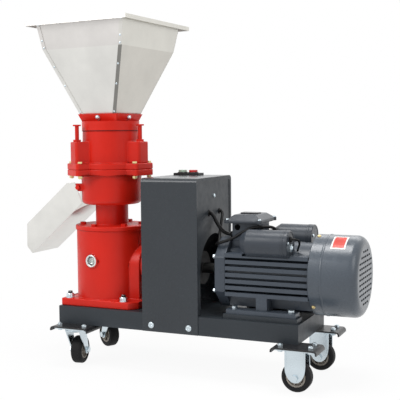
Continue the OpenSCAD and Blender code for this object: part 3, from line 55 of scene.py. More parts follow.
def make_camera():
    ahead = Vector((-math.sin(YAW) * math.cos(PITCH), math.cos(YAW) * math.cos(PITCH), -math.sin(PITCH)))
    right = ahead.cross(Vector((0, 0, 1))).normalized()
    up = right.cross(ahead)
    c, s = math.cos(ROLL), math.sin(ROLL)
    right, up = c * right + s * up, -s * right + c * up
    data = bpy.data.cameras.new("camera")
    data.sensor_width = SENSOR_MM
    data.lens = FOCAL_PX * SENSOR_MM / PHOTO_PX
    cam = bpy.data.objects.new("camera", data)
    turn = Matrix((right, up, -ahead)).transposed()
    cam.matrix_world = Matrix.Translation(CAMERA_AT) @ turn.to_4x4()
    bpy.context.scene.collection.objects.link(cam)
    bpy.context.scene.camera = cam


make_camera()


# Materials
def srgb(r, g, b):
    def lin(v):
        v /= 255.0
        return v / 12.92 if v <= 0.04045 else ((v + 0.055) / 1.055) ** 2.4
    return (lin(r), lin(g), lin(b), 1.0)


class Mat:
    """One node material, with short helpers for its noise, bump and wear."""

    def __init__(self, name, color, rough, metal=0.0, coat=0.0, spec=0.5):
        self.mat = bpy.data.materials.new(name)
        self.mat.use_nodes = True
        self.tree = self.mat.node_tree
        self.bsdf = self.tree.nodes["Principled BSDF"]
        self.bsdf.inputs["Base Color"].default_value = color
        self.bsdf.inputs["Roughness"].default_value = rough
        self.bsdf.inputs["Metallic"].default_value = metal
        self.bsdf.inputs["Coat Weight"].default_value = coat
        self.bsdf.inputs["Specular IOR Level"].default_value = spec
        self.coord = self.tree.nodes.new("ShaderNodeTexCoord")
        self.color = color
        self.height = None

    def link(self, a, b):
        self.tree.links.new(a, b)

    def noise(self, scale, detail=3.0, rough=0.5, stretch=(1, 1, 1)):
        m = self.tree.nodes.new("ShaderNodeMapping")
        m.inputs["Scale"].default_value = stretch
        self.link(self.coord.outputs["Object"], m.inputs["Vector"])
        n = self.tree.nodes.new("ShaderNodeTexNoise")
        n.inputs["Scale"].default_value = scale
        n.inputs["Detail"].default_value = detail
        n.inputs["Roughness"].default_value = rough
        self.link(m.outputs["Vector"], n.inputs["Vector"])
        return n.outputs["Fac"]

    def ramp(self, value, low, high, out_low=0.0, out_high=1.0):
        r = self.tree.nodes.new("ShaderNodeMapRange")
        r.inputs["From Min"].default_value = low
        r.inputs["From Max"].default_value = high
        r.inputs["To Min"].default_value = out_low
        r.inputs["To Max"].default_value = out_high
        self.link(value, r.inputs["Value"])
        return r.outputs["Result"]

    def math(self, op, a, b):
        n = self.tree.nodes.new("ShaderNodeMath")
        n.operation = op
        for socket, v in zip(n.inputs, (a, b)):
            if isinstance(v, (int, float)):
                socket.default_value = v
            else:
                self.link(v, socket)
        return n.outputs["Value"]

    def mix(self, fac, a, b):
        n = self.tree.nodes.new("ShaderNodeMix")
        n.data_type = "RGBA"
        if isinstance(fac, (int, float)):
            n.inputs["Factor"].default_value = fac
        else:
            self.link(fac, n.inputs["Factor"])
        for socket, v in ((n.inputs[6], a), (n.inputs[7], b)):
            if isinstance(v, tuple):
                socket.default_value = v
            else:
                self.link(v, socket)
        return n.outputs[2]

    def paint(self, out):
        self.link(out, self.bsdf.inputs["Base Color"])

    def roughness(self, out):
        self.link(out, self.bsdf.inputs["Roughness"])

    def bump(self, value, depth_mm, strength=1.0):
        b = self.tree.nodes.new("ShaderNodeBump")
        b.inputs["Strength"].default_value = strength
        b.inputs["Distance"].default_value = depth_mm * MM
        self.link(value, b.inputs["Height"])
        if self.height:
            self.link(self.height, b.inputs["Normal"])
        self.height = b.outputs["Normal"]
        self.link(self.height, self.bsdf.inputs["Normal"])

    def edges(self, low=0.52, high=0.62):
        g = self.tree.nodes.new("ShaderNodeNewGeometry")
        return self.ramp(g.outputs["Pointiness"], low, high)


def shade(color, k):
    return (min(color[0] * k, 1), min(color[1] * k, 1), min(color[2] * k, 1), 1.0)


def sprayed(name, color, rough, cast_mm, coat=0.25, drift=0.12, spec=0.3, peel_mm=0.12):
    """Paint over a casting or sheet: orange peel, a slow drift of tone, brighter worn edges."""
    m = Mat(name, color, rough, coat=coat, spec=spec)
    m.bsdf.inputs["Coat Roughness"].default_value = 0.22
    slow = m.noise(9.0, 2.0)
    tone = m.mix(m.ramp(slow, 0.35, 0.65), shade(color, 1 - drift), shade(color, 1 + drift))
    m.paint(m.mix(m.math("MULTIPLY", m.edges(), 0.35), tone, shade(color, 1.6)))
    m.roughness(m.ramp(m.noise(60.0, 3.0), 0.3, 0.7, rough - 0.05, rough + 0.08))
    m.bump(m.noise(420.0, 2.0), peel_mm, 0.5)
    if cast_mm:
        m.bump(m.noise(110.0, 4.0, 0.6), cast_mm, 0.6)
    return m.mat


def plated(name, color, rough, grain=(1, 1, 1), drift=0.08, metal=1.0):
    """Bare or plated metal with fine grain along one direction."""
    m = Mat(name, color, rough, metal=metal)
    grainy = m.noise(900.0, 3.0, 0.6, grain)
    slow = m.noise(14.0, 2.0)
    m.paint(m.mix(m.ramp(slow, 0.3, 0.7), shade(color, 1 - drift), shade(color, 1 + drift)))
    m.roughness(m.ramp(grainy, 0.25, 0.75, rough - 0.06, rough + 0.10))
    m.bump(grainy, 0.02, 0.35)
    return m.mat


def moulded(name, color, rough, grain_mm=0.08, coat=0.0, spec=0.4):
    """Moulded plastic with a fine grain and a slow drift of tone."""
    m = Mat(name, color, rough, coat=coat, spec=spec)
    slow = m.noise(20.0, 2.0)
    m.paint(m.mix(m.ramp(slow, 0.3, 0.7), shade(color, 0.88), shade(color, 1.15)))
    m.roughness(m.ramp(m.noise(220.0, 2.0), 0.3, 0.7, rough - 0.06, rough + 0.08))
    m.bump(m.noise(700.0, 2.0), grain_mm, 0.5)
    return m.mat


# Heights in metres between which the hopper's sheets change tone, at their bend: a painted difference of reflection,
# as the band above leans another way than the taper below
BEND_FROM, BEND_TO = 0.8585, 0.8605


def sheet_steel(name, taper, band):
    """Stainless sheet, almost matt: fine brushing up the sheet, dull marks, and another painted reflection tone
    above the bend.
    """
    m = Mat(name, taper, 0.34, metal=1.0)
    brushed = m.noise(420.0, 3.0, 0.6, (1.0, 1.0, 0.06))
    marks = m.noise(14.0, 4.0, 0.6)
    height = m.tree.nodes.new("ShaderNodeSeparateXYZ")
    m.link(m.coord.outputs["Object"], height.inputs["Vector"])
    # The tone above the bend is painted reflection: band and taper lean differently and so mirror the surroundings
    # differently
    above = m.ramp(height.outputs["Z"], BEND_FROM, BEND_TO)
    dull, clear = (m.mix(above, shade(taper, k), shade(band, k)) for k in (0.95, 1.05))
    m.paint(m.mix(m.ramp(marks, 0.3, 0.7), dull, clear))
    m.roughness(m.ramp(m.math("ADD", brushed, m.math("MULTIPLY", marks, 0.4)), 0.45, 0.95, 0.29, 0.42))
    m.bump(brushed, 0.012, 0.25)
    m.bump(m.noise(5.0, 1.0, 0.4), 0.5, 0.2)
    return m.mat


def rubber(name, color, rough=0.62):
    """Rubber, with paler dust in patches."""
    m = Mat(name, color, rough, spec=0.2)
    dust = m.noise(45.0, 5.0, 0.65)
    m.paint(m.mix(m.ramp(dust, 0.45, 0.75), color, shade(color, 1.6)))
    m.roughness(m.ramp(dust, 0.3, 0.7, rough - 0.08, rough + 0.15))
    m.bump(m.noise(500.0, 2.0), 0.08, 0.5)
    return m.mat


def clear_glass():
    m = Mat("oil_window", (0.82, 0.86, 0.84, 1.0), 0.05)
    m.bsdf.inputs["Transmission Weight"].default_value = 0.9
    m.bsdf.inputs["IOR"].default_value = 1.48
    return m.mat


RED = srgb(208, 32, 15)
GREY = srgb(47, 52, 57)
MOTOR = srgb(63, 70, 79)
MATERIALS = {
    "red_paint": sprayed("red_sprayed_casting", RED, 0.38, 0.3, coat=0.05, drift=0.06, spec=0.25),
    "grey_powder": sprayed("grey_powder_coat", GREY, 0.38, 0.0, coat=0.0, drift=0.05),
    "motor_paint": sprayed("motor_sprayed_casting", MOTOR, 0.3, 0.2, coat=0.1, drift=0.08),
    "guard_paint": sprayed("guard_powder_coat", srgb(45, 50, 55), 0.24, 0.0, coat=0.25, drift=0.04, peel_mm=0.05),
    "cover_paint": sprayed("fan_cover_paint", srgb(70, 78, 87), 0.27, 0.0, coat=0.3, drift=0.05, spec=0.4),
    "housing_paint": sprayed("small_housing_paint", srgb(52, 57, 64), 0.32, 0.2, coat=0.1, drift=0.06),
    # Dark red painted shade, for the seam between the hopper's ring and the chamber
    "seam_painted_shade": sprayed("seam_in_shadow", srgb(86, 10, 8), 0.5, 0.0, coat=0.0),
    "black_plate": sprayed("black_sprayed_plate", srgb(30, 30, 32), 0.35, 0.0, coat=0.3, drift=0.1),
    # The second colour of each sheet is its painted reflection tone above the bend
    "stainless": sheet_steel("stainless_sheet", srgb(221, 220, 216), srgb(216, 213, 210)),
    # The right hopper sheet: the same stainless with painted shade, darker on its taper, as it faces away from the
    # light
    "sheet_right_painted_shade": sheet_steel("stainless_side_painted_shade", srgb(202, 199, 192), srgb(214, 212, 205)),
    # A seam strip with a painted dark reflection on its taper part, and the pale sheet tone above the bend
    "strip_painted_reflection": sheet_steel("stainless_strip_painted_reflection", srgb(132, 131, 127), srgb(212, 210, 205)),
    "zinc": plated("bright_zinc", srgb(204, 215, 221), 0.26),
    "yellow_zinc": plated("yellow_zinc", srgb(222, 202, 150), 0.30),
    "bare_steel": plated("machined_steel", srgb(150, 150, 148), 0.32, (1, 1, 6)),
    "core_steel": plated("core_sheets", srgb(110, 112, 116), 0.45, (12, 1, 1)),
    "tyre": rubber("tyre_rubber", srgb(28, 28, 29)),
    "hub_plastic": moulded("hub_moulding", srgb(150, 143, 134), 0.5),
    "black_plastic": moulded("black_moulding", srgb(24, 24, 25), 0.42),
    "green_plastic": moulded("start_key_moulding", srgb(176, 196, 178), 0.3, 0.02, coat=0.3),
    "red_plastic": moulded("stop_key_moulding", srgb(214, 28, 22), 0.28, 0.02, coat=0.4),
    "spider_rubber": rubber("coupling_elastomer", srgb(120, 30, 24), 0.45),
    "lead_rubber": rubber("lead_sheath", srgb(18, 18, 19), 0.36),
    "sight": plated("sight_ring_plating", srgb(222, 222, 220), 0.16),
    # Near black as painted shade, for the coupling hubs in the shade inside the guard's arch
    "hub_painted_shade": sprayed("coupling_hub_painted_shade", srgb(20, 20, 21), 0.5, 0.0, coat=0.0, spec=0.15),
}
SLOT_OF = {s["node"]: s["material_slot"] for s in frame["record"]["subparts"]}
BODY_OF = {n: b for b, members in frame["record"]["behaviour"]["bodies"].items() for n in members}
# Nodes whose look differs from that of their slot; the coupling hubs' near black and the right hopper sheet's darker
# tone are painted shade
FINISH_OF = {
    "coupling_hubs": "hub_painted_shade", "fan_cover": "cover_paint", "hopper_right": "sheet_right_painted_shade",
    "guard_wrap": "guard_paint", "capacitor_covers": "housing_paint", "terminal_lid": "housing_paint",
}

for name, obj in NODES.items():
    obj.data.materials.clear()
    obj.data.materials.append(MATERIALS[FINISH_OF.get(name, SLOT_OF[name])])


# Mesh helpers
def add_piece(name, mesh, slot, body, material=None):
    obj = bpy.data.objects.new(name, mesh)
    bpy.context.scene.collection.objects.link(obj)
    mesh.materials.clear()
    mesh.materials.append(material or MATERIALS[slot])
    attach(obj, body)
    return obj


def smooth_by_angle(mesh, degrees=32):
    """Smooth shading, but for edges sharper than the angle."""
    limit = math.radians(degrees)
    bm = bmesh.new()
    bm.from_mesh(mesh)
    for f in bm.faces:
        f.smooth = True
    for e in bm.edges:
        e.smooth = len(e.link_faces) == 2 and e.calc_face_angle(0.0) <= limit
    bm.to_mesh(mesh)
    bm.free()


def clean_copy(node):
    """The node's mesh with its flat faces whole again, ready for rounded edges."""
    bm = bmesh.new()
    bm.from_mesh(NODES[node].data)
    bmesh.ops.remove_doubles(bm, verts=bm.verts, dist=1e-6)
    bmesh.ops.dissolve_limit(bm, angle_limit=math.radians(0.6), verts=bm.verts, edges=bm.edges)
    mesh = bpy.data.meshes.new(node + "_form")
    bm.to_mesh(mesh)
    bm.free()
    return mesh


def mark_outward_edges(mesh, degrees=30):
    """Marks only the edges that stand out, so that rounding fills no corner of a pocket."""
    bm = bmesh.new()
    bm.from_mesh(mesh)
    weight = bm.edges.layers.float.new("bevel_weight_edge")
    for e in bm.edges:
        if len(e.link_faces) == 2 and e.is_convex and e.calc_face_angle(0.0) > math.radians(degrees):
            e[weight] = 1.0
    bm.to_mesh(mesh)
    bm.free()


def round_edges(obj, width_mm, segments=2, degrees=30, clamp=True, marked=False):
    mod = obj.modifiers.new("rounded", "BEVEL")
    mod.width = width_mm * MM
    mod.segments = segments
    mod.limit_method = "WEIGHT" if marked else "ANGLE"
    mod.angle_limit = math.radians(degrees)
    mod.use_clamp_overlap = clamp
    mod.harden_normals = True


def dress(node, width_mm, segments):
    """A piece that stands for a CAD node: the same form, with its edges rounded as cast, bent or moulded."""
    mesh = clean_copy(node)
    smooth_by_angle(mesh)
    if node in PRESSED_PARTS:
        mark_outward_edges(mesh)
    finish = MATERIALS[FINISH_OF.get(node, SLOT_OF[node])]
    obj = add_piece(node + "_shown", mesh, SLOT_OF[node], BODY_OF[node], finish)
    round_edges(obj, width_mm, segments, clamp=node not in SOFT_CASTINGS, marked=node in PRESSED_PARTS)
    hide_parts(node)


# Castings whose wide roundings may run into each other, and parts that slide in each other's pockets
SOFT_CASTINGS = ("gearbox_housing", "discharge_pot", "pressing_chamber")
PRESSED_PARTS = ("switch_box", "start_button", "stop_button")
# Width of the rounding on each node that is dressed; the wider ones have a step more
WIDE_EDGE_MM = 1.9
ROUNDED_MM = {
    "base_tray": 2.2, "caster_brackets": 0.9, "caster_frames": 0.6, "caster_fork_fl": 0.6, "caster_fork_bl": 0.6,
    "gearbox_housing": 2.6, "input_cover": 1.5, "discharge_pot": 2.4, "pressing_chamber": 3.0,
    "painted_fasteners": 0.6, "chamber_bolts": 0.5, "hopper_ring": 1.2,
    "base_fasteners": 0.5, "guard_side_panels": 0.4, "guard_wrap": 0.5, "hopper_front": 0.3, "hopper_right": 0.3,
    "hopper_back": 0.3, "hopper_left": 0.3, "tyre_fl": 1.0, "tyre_bl": 1.0, "tyre_fr": 1.0, "tyre_br": 1.0,
    "switch_box": 0.8, "start_button": 0.8, "stop_button": 0.8, "motor_frame": 1.2, "motor_end_bells": 2.2,
    "terminal_box": 1.5, "terminal_lid": 3.0, "capacitor_covers": 2.0, "motor_rails": 1.2, "motor_bolts": 0.6,
    "adjusting_bolt_a": 0.6, "adjusting_bolt_b": 0.6, "adjusting_bolt_c": 0.6, "coupling_hubs": 0.8,
    "discharge_chute": 0.3, "fan_cover": 0.5,
}
for name, width in ROUNDED_MM.items():
    dress(name, width, 3 if width > WIDE_EDGE_MM else 2)
for name, obj in NODES.items():
    if name not in ROUNDED_MM:
        for p in obj.data.polygons:
            p.use_smooth = False


# Sizes that the details share with the frame, in millimetres from the tray's left end and the floor
MIDDLE = 344.0
COLUMN = 106.0
TRAY_TOP = 160.0
FOOT_TOP = 180.0
STUD_X, STUD_Y = 84.0, 92.0
SIGHT_TURN, SIGHT_REACH, SIGHT_H = math.radians(-6.0), 99.0, 106.0
HOPPER_TURN = -5.0
RING_R, RING_SEAM_DROP = 80.0, 26.0
COLLAR_Z, BEND_Z, RIM_Z = 666.0, 860.0, 933.0
COLLAR_H, COLLAR_FOOT, COLLAR_SIDE = 20.0, 113.0, 129.0
FEED_SIDE, BEND_SIDE, MOUTH_SIDE = 104.6, 258.0, 283.0
GUARD_END, GUARD_TOP, GUARD_HALF = 420.0, 515.0, 118.0
GUARD_SCREWS_X, GUARD_SCREWS_Z, REAR_SCREW_Z = (286.0, 394.0), 129.0, 465.0
KEYS_X, KEYS_Y, SWITCH_H = (288.8, 321.1), 82.0, 6.0
DRIVE_Z = 270.0
BELL_X, BELL_BOLT_Y, BELL_BOLT_Z = 455.0, 80.0, 44.0
BELL_FACE_X, CAP_SCREW_R = 447.0, 43.0
COVER_X, COVER_R = 706.0, 102.5
TERM_X, TERM_L, TERM_HALF, LID_Z, LID_H = 485.0, 74.0, 40.0, 398.0, 22.0
LUG_OUT, LUG_Y = 7.0, 56.5
CAP_Y, CAP_Z, CAP_R, CAP_FRONT, CAP_REAR = 81.0, 353.0, 34.5, 654.0, 670.0
# Each caster's place and how far it is turned, in degrees; the left pair swivels
CASTERS = {
    "fl": (57.0, -124.0, 100.0), "bl": (57.0, 87.0, 150.0), "fr": (687.0, -124.0, 0.0), "br": (687.0, 87.0, 0.0),
}
SWIVELS = ("fl", "bl")
AXLE_Z, TRAIL, HUB_R = 37.5, 30.0, 25.0


def at(x, y, z):
    return Vector(((x - MIDDLE) * MM, y * MM, z * MM))


def spot(x, y, z, out=(0, 0, 1), up=None):
    """A place whose own Z points along out, in the frame."""
    z_dir = Vector(out).normalized()
    guide = Vector(up) if up else (Vector((0, 0, 1)) if abs(z_dir.z) < 0.9 else Vector((1, 0, 0)))
    x_dir = guide.cross(z_dir).normalized()
    y_dir = z_dir.cross(x_dir)
    return Matrix.Translation(at(x, y, z)) @ Matrix((x_dir, y_dir, z_dir)).transposed().to_4x4()


def shift(x, y, z):
    """A move in millimetres."""
    return Matrix.Translation((x * MM, y * MM, z * MM))


def spin(angle):
    return Matrix.Rotation(angle, 4, "Z")


def round_column(turn):
    """The frame of the vertical shaft, turned about it."""
    return Matrix.Translation(at(COLUMN, 0, 0)) @ spin(math.radians(turn))


def facing(direction):
    """A turn that brings local Z to a direction."""
    return direction.normalized().to_track_quat("Z", "Y").to_matrix().to_4x4()


class Build:
    """Collects simple solids, in millimetres, into one piece."""

    def __init__(self):
        self.bm = bmesh.new()

    def faces(self, points, faces, m):
        verts = [self.bm.verts.new(m @ (Vector(p) * MM)) for p in points]
        for f in faces:
            self.bm.faces.new([verts[i] for i in f])

    def lathe(self, profile, m, steps=40):
        """Turns (radius, height) points about local Z; a radius of zero closes an end."""
        points, rings = [], []
        for r, h in profile:
            if r == 0:
                rings.append([len(points)] * steps)
                points.append((0, 0, h))
                continue
            rings.append(list(range(len(points), len(points) + steps)))
            for k in range(steps):
                a = 2 * math.pi * k / steps
                points.append((r * math.cos(a), r * math.sin(a), h))
        faces = []
        for low, high in zip(rings, rings[1:]):
            for k in range(steps):
                n = (k + 1) % steps
                quad = [low[k], low[n], high[n], high[k]]
                faces.append(list(dict.fromkeys(quad)))
        self.faces(points, [f for f in faces if len(f) > 2], m)

    def ring(self, profile, m, steps=40):
        """Turns a closed profile about local Z."""
        self.lathe(profile + profile[:1], m, steps)

    def prism(self, outline, low, high, m):
        n = len(outline)
        points = [(x, y, low) for x, y in outline] + [(x, y, high) for x, y in outline]
        sides = [[k, (k + 1) % n, n + (k + 1) % n, n + k] for k in range(n)]
        self.faces(points, sides + [list(range(n))[::-1], list(range(n, 2 * n))], m)

    def box(self, size, m):
        x, y, z = (v / 2 for v in size)
        self.prism([(-x, -y), (x, -y), (x, y), (-x, y)], -z, z, m)

    def nut(self, across, h, m, crown=0.8):
        """A hexagon with turned corners, standing on local zero."""
        r = across / math.sqrt(3)
        corners = [(r * math.cos(math.pi * k / 3), r * math.sin(math.pi * k / 3)) for k in range(6)]
        self.prism(corners, 0, h * 0.82, m)
        self.lathe([(0, h * 0.8), (r * 0.9, h * 0.8), (r * crown, h), (0, h)], m, 24)

    def washer(self, r_out, r_in, h, m):
        self.ring([(r_in, 0), (r_out, 0), (r_out, h), (r_in, h)], m, 32)

    def dome(self, r, h, m, steps=24):
        """A low round head with a short upright rim."""
        rim = 0.25
        arc = [(r * math.cos(a), h * (rim + (1 - rim) * math.sin(a))) for a in (i * math.pi / 12 for i in range(6))]
        self.lathe([(0, 0), (r, 0)] + arc + [(0, h)], m, steps)

    def done(self, name, slot, body, bevel_mm=0.4, segments=2, material=None, replaces=()):
        """Makes the piece, rounds its edges and adds it to a body."""
        bmesh.ops.remove_doubles(self.bm, verts=self.bm.verts, dist=1e-7)
        bmesh.ops.recalc_face_normals(self.bm, faces=self.bm.faces)
        mesh = bpy.data.meshes.new(name)
        self.bm.to_mesh(mesh)
        self.bm.free()
        smooth_by_angle(mesh, 35)
        obj = add_piece(name, mesh, slot, body, material)
        if bevel_mm:
            round_edges(obj, bevel_mm, segments, 35)
        if replaces:
            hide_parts(*replaces)


# Hopper: folded seam strips on the front and back sheets, rivets, collar bolts and weld spots
STRIP_W, STRIP_T, STRIP_LAP, STRIP_CLEAR = 11.0, 1.2, 0.4, 0.1
STRIP_FOOT_GAP, STRIP_HEAD_GAP = 8.0, 2.5
RIVET_R, RIVET_H, RIVET_SHARE = 3.0, 1.8, 0.52
COLLAR_WASHER_R, COLLAR_WASHER_T = 7.4, 1.2
COLLAR_HEAD_R, COLLAR_HEAD_H = 6.4, 4.6
TAPER_SHARES = (0.13, 0.5, 0.76)
BAND_SHARES = (0.06, 0.32, 0.9)


def hopper_half(z):
    """Half the hopper's side at a height, outside its sheet."""
    if z < BEND_Z:
        return (FEED_SIDE + (BEND_SIDE - FEED_SIDE) * (z - COLLAR_Z) / (BEND_Z - COLLAR_Z)) / 2
    return (BEND_SIDE + (MOUTH_SIDE - BEND_SIDE) * (z - BEND_Z) / (RIM_Z - BEND_Z)) / 2


def seam_strip(b, side, base):
    """A folded strip along one edge of a sheet, from the collar over the bend to the rim."""
    points = []
    section = ((-STRIP_LAP, STRIP_CLEAR), (STRIP_W, STRIP_CLEAR), (STRIP_W, STRIP_T), (-STRIP_LAP, STRIP_T))
    for z in (COLLAR_Z + STRIP_FOOT_GAP, BEND_Z, RIM_Z - STRIP_HEAD_GAP):
        half = hopper_half(z)
        points += [(side * (half - inward), -half - out, z) for inward, out in section]
    faces = [[0, 1, 2, 3], [8, 9, 10, 11]]
    for s in (0, 4):
        faces += [[s + k, s + (k + 1) % 4, s + 4 + (k + 1) % 4, s + 4 + k] for k in range(4)]
    b.faces(points, faces, base)


def seam_rivets(b, side, base):
    for low, high, shares in ((COLLAR_Z, BEND_Z, TAPER_SHARES), (BEND_Z, RIM_Z, BAND_SHARES)):
        slope = (hopper_half(high - 0.01) - hopper_half(low)) / (high - low)
        for share in shares:
            z = low + (high - low) * share
            half = hopper_half(z)
            here = shift(side * (half - STRIP_W * RIVET_SHARE), -half - STRIP_T, z)
            b.dome(RIVET_R, RIVET_H, base @ here @ facing(Vector((0, -1, -slope))), 20)


def hopper_seams():
    strips, near, rivets = Build(), Build(), Build()
    for turn in (0, 180):
        base = round_column(HOPPER_TURN + turn)
        for side in (-1, 1):
            seam_strip(near if turn == 0 and side == 1 else strips, side, base)
            seam_rivets(rivets, side, base)
    strips.done("hopper_seam_strips", "stainless", "machine", 0.35)
    # The near right strip carries the painted dark reflection
    near.done("hopper_seam_strip_painted_reflection", "stainless", "machine", 0.35, material=MATERIALS["strip_painted_reflection"])
    slope = (COLLAR_SIDE - COLLAR_FOOT) / 2 / COLLAR_H
    half = (COLLAR_FOOT + COLLAR_SIDE) / 4
    for turn in (0, 90, 180, 270):
        here = shift(0, -half, COLLAR_Z + COLLAR_H / 2) @ facing(Vector((0, -1, -slope)))
        m = round_column(HOPPER_TURN + turn) @ here
        rivets.washer(COLLAR_WASHER_R, RIVET_R, COLLAR_WASHER_T, m)
        rivets.dome(COLLAR_HEAD_R, COLLAR_HEAD_H, m @ shift(0, 0, COLLAR_WASHER_T), 28)
    rivets.done("hopper_rivets", "zinc", "machine", 0, replaces=("hopper_fasteners",))


WELD_R, WELD_STEP, WELD_IN, WELD_BEADS = 2.6, 5.5, 4.0, 4


def collar_welds():
    """Short hand welds at the collar's corners, of overlapping flattened beads."""
    b = Build()
    half = COLLAR_FOOT / 2
    for turn in (0, 90, 180, 270):
        base = round_column(HOPPER_TURN + turn)
        for side in (-1, 1):
            for k in range(WELD_BEADS):
                grow = 1 + 0.18 * math.sin(k + turn)
                x = side * (half - WELD_IN - WELD_STEP * k)
                here = shift(x, -half + 0.6, COLLAR_Z - 1.0 + 0.4 * math.sin(5 * k + turn))
                b.dome(WELD_R * grow, WELD_R * 0.75 * grow, base @ here, 12)
    b.done("collar_welds", "red_paint", "machine", 0)


def ring_seam():
    """A thin dark band of painted shade, where the hopper's ring sits in the chamber."""
    gap = Build()
    z, r = COLLAR_Z - RING_SEAM_DROP, RING_R
    gap.ring([(r - 0.6, z - 0.9), (r + 0.35, z - 0.7), (r + 0.35, z + 0.7), (r - 0.6, z + 0.9)], round_column(0), 96)
    gap.done("ring_seam_painted_shade", "red_paint", "machine", 0, material=MATERIALS["seam_painted_shade"])


hopper_seams()
collar_welds()
ring_seam()


# Gearbox: sight glass and foot studs
def sight_glass():
    """A plated ring with two small marks, a reflector, a black seat and a domed pane."""
    aim = (math.sin(SIGHT_TURN), -math.cos(SIGHT_TURN), 0)
    m = spot(COLUMN + SIGHT_REACH * aim[0], SIGHT_REACH * aim[1], FOOT_TOP + SIGHT_H, aim)
    ring = Build()
    ring.ring([(11.9, -6), (17.5, -6), (17.5, 3.2), (16.3, 4.4), (13.6, 4.4), (12.4, 3.4), (11.9, 1.0)], m, 56)
    mark_r, mark_at = 0.9, 14.8
    for a in (0.4, 0.4 + math.pi):
        here = m @ shift(mark_at * math.cos(a), mark_at * math.sin(a), 0)
        ring.lathe([(0, 4.5), (mark_r, 4.5), (mark_r, 3.9), (0, 3.9)], here, 12)
    ring.done("sight_glass_ring", "sight", "machine", 0.25, replaces=("sight_glass",))
    back = Build()
    back.lathe([(0, -4), (8.6, -4), (8.6, -1.6), (7.2, -1.0), (5.8, -1.6), (5.2, -2.6), (2.6, -2.6), (2.2, -1.8),
                (0, -1.8)], m, 40)
    back.done("sight_glass_reflector", "sight", "machine", 0.2, material=MATERIALS["sight"])
    seat = Build()
    seat.ring([(8.4, -4.2), (12.0, -4.2), (12.0, 0.4), (11.0, 0.1), (8.4, -2.4)], m, 48)
    seat.done("sight_glass_seat", "sight", "machine", 0.1, material=MATERIALS["black_plastic"])
    pane = Build()
    pane.lathe([(0, 0.6), (11.8, 0.6), (11.8, 1.8), (8.8, 2.3), (4.6, 2.6), (0, 2.7)], m, 40)
    pane.done("sight_glass_pane", "sight", "machine", 0, material=clear_glass())


STUD_R, STUD_NUT, STUD_NUT_H, STUD_WASHER_R, STUD_WASHER_T = 6.2, 19.0, 10.5, 12.5, 2.2
THREAD_FROM, THREAD_PITCH, THREAD_RIDGES = 13.2, 1.3, 3


def foot_studs():
    """Washers, nuts and threaded tips at the four corners of the gearbox's foot."""
    nuts, tips = Build(), Build()
    for sx in (-1, 1):
        for sy in (-1, 1):
            m = spot(COLUMN + sx * STUD_X, sy * STUD_Y, FOOT_TOP)
            nuts.washer(STUD_WASHER_R, STUD_R, STUD_WASHER_T, m)
            nuts.nut(STUD_NUT, STUD_NUT_H, m @ shift(0, 0, STUD_WASHER_T))
            tips.lathe([(0, 12.2), (STUD_R, 12.2), (STUD_R, 17.4), (STUD_R - 1.0, 18.6), (0, 18.6)], m, 24)
            for k in range(THREAD_RIDGES):
                z = THREAD_FROM + THREAD_PITCH * k
                tips.ring([(STUD_R - 0.1, z), (STUD_R + 0.4, z + 0.4), (STUD_R - 0.1, z + 0.8)], m, 24)
    nuts.done("foot_nuts", "zinc", "machine", 0.3)
    tips.done("foot_stud_tips", "black_plate", "machine", 0.2)


sight_glass()
foot_studs()


# Guard: return flange on the motor side, and slotted screws
FLANGE_W, FLANGE_IN, FLANGE_FOOT = 9.0, 2.0, 1.0
FLANGE_R, FLANGE_INNER_R = 10.0, 5.0
FLANGE_NEAR, FLANGE_FAR = 0.1, 1.7


def guard_flange():
    """The guard's return lip on the motor side, with round upper corners, open at the tray."""
    b = Build()
    x0 = GUARD_END - MIDDLE - FLANGE_IN
    half, top, low = GUARD_HALF - FLANGE_IN, GUARD_TOP - FLANGE_IN, TRAY_TOP + FLANGE_FOOT
    turns = [i * math.pi / 12 for i in range(7)]

    def line(side, height, r):
        right = [(side, low)] + [(side - r + r * math.cos(a), height - r + r * math.sin(a)) for a in turns]
        return right + [(-y, z) for y, z in reversed(right)]

    out_line = line(half, top, FLANGE_R)
    in_line = line(half - FLANGE_W, top - FLANGE_W, FLANGE_INNER_R)
    n = len(out_line)
    points = [(x0 + dx, y, z) for edge in (out_line, in_line) for dx in (FLANGE_NEAR, FLANGE_FAR) for y, z in edge]
    faces = []
    for k in range(n - 1):
        faces.append([k, k + 1, n + k + 1, n + k])
        faces.append([2 * n + k, 3 * n + k, 3 * n + k + 1, 2 * n + k + 1])
        faces.append([n + k, n + k + 1, 3 * n + k + 1, 3 * n + k])
        faces.append([k, 2 * n + k, 2 * n + k + 1, k + 1])
    faces += [[0, n, 3 * n, 2 * n], [n - 1, 3 * n - 1, 4 * n - 1, 2 * n - 1]]
    b.faces(points, faces, Matrix.Identity(4))
    b.done("guard_return_flange", "grey_powder", "machine", 0.5)


def slotted_screw(b, m, r, h):
    """A low round head with its slot left open between two halves of the crown."""
    r_low, r_high, gap = 0.93 * r, 0.74 * r, 0.11 * r
    b.lathe([(0, 0), (r, 0), (r, h * 0.45), (r_low, h * 0.62), (0, h * 0.62)], m, 32)
    start = math.asin(gap / r_low)
    arc = [start + (math.pi - 2 * start) * k / 12 for k in range(13)]
    low = [(r_low * math.cos(a), r_low * math.sin(a)) for a in arc]
    high = [(r_high * math.cos(a), max(gap, r_high * math.sin(a))) for a in arc]
    n = len(low)
    faces = [[k, (k + 1) % n, n + (k + 1) % n, n + k] for k in range(n)]
    faces += [list(range(n)), list(range(n, 2 * n))]
    for s in (-1, 1):
        b.faces([(x, s * y, h * 0.6) for x, y in low] + [(x, s * y, h) for x, y in high], faces, m)


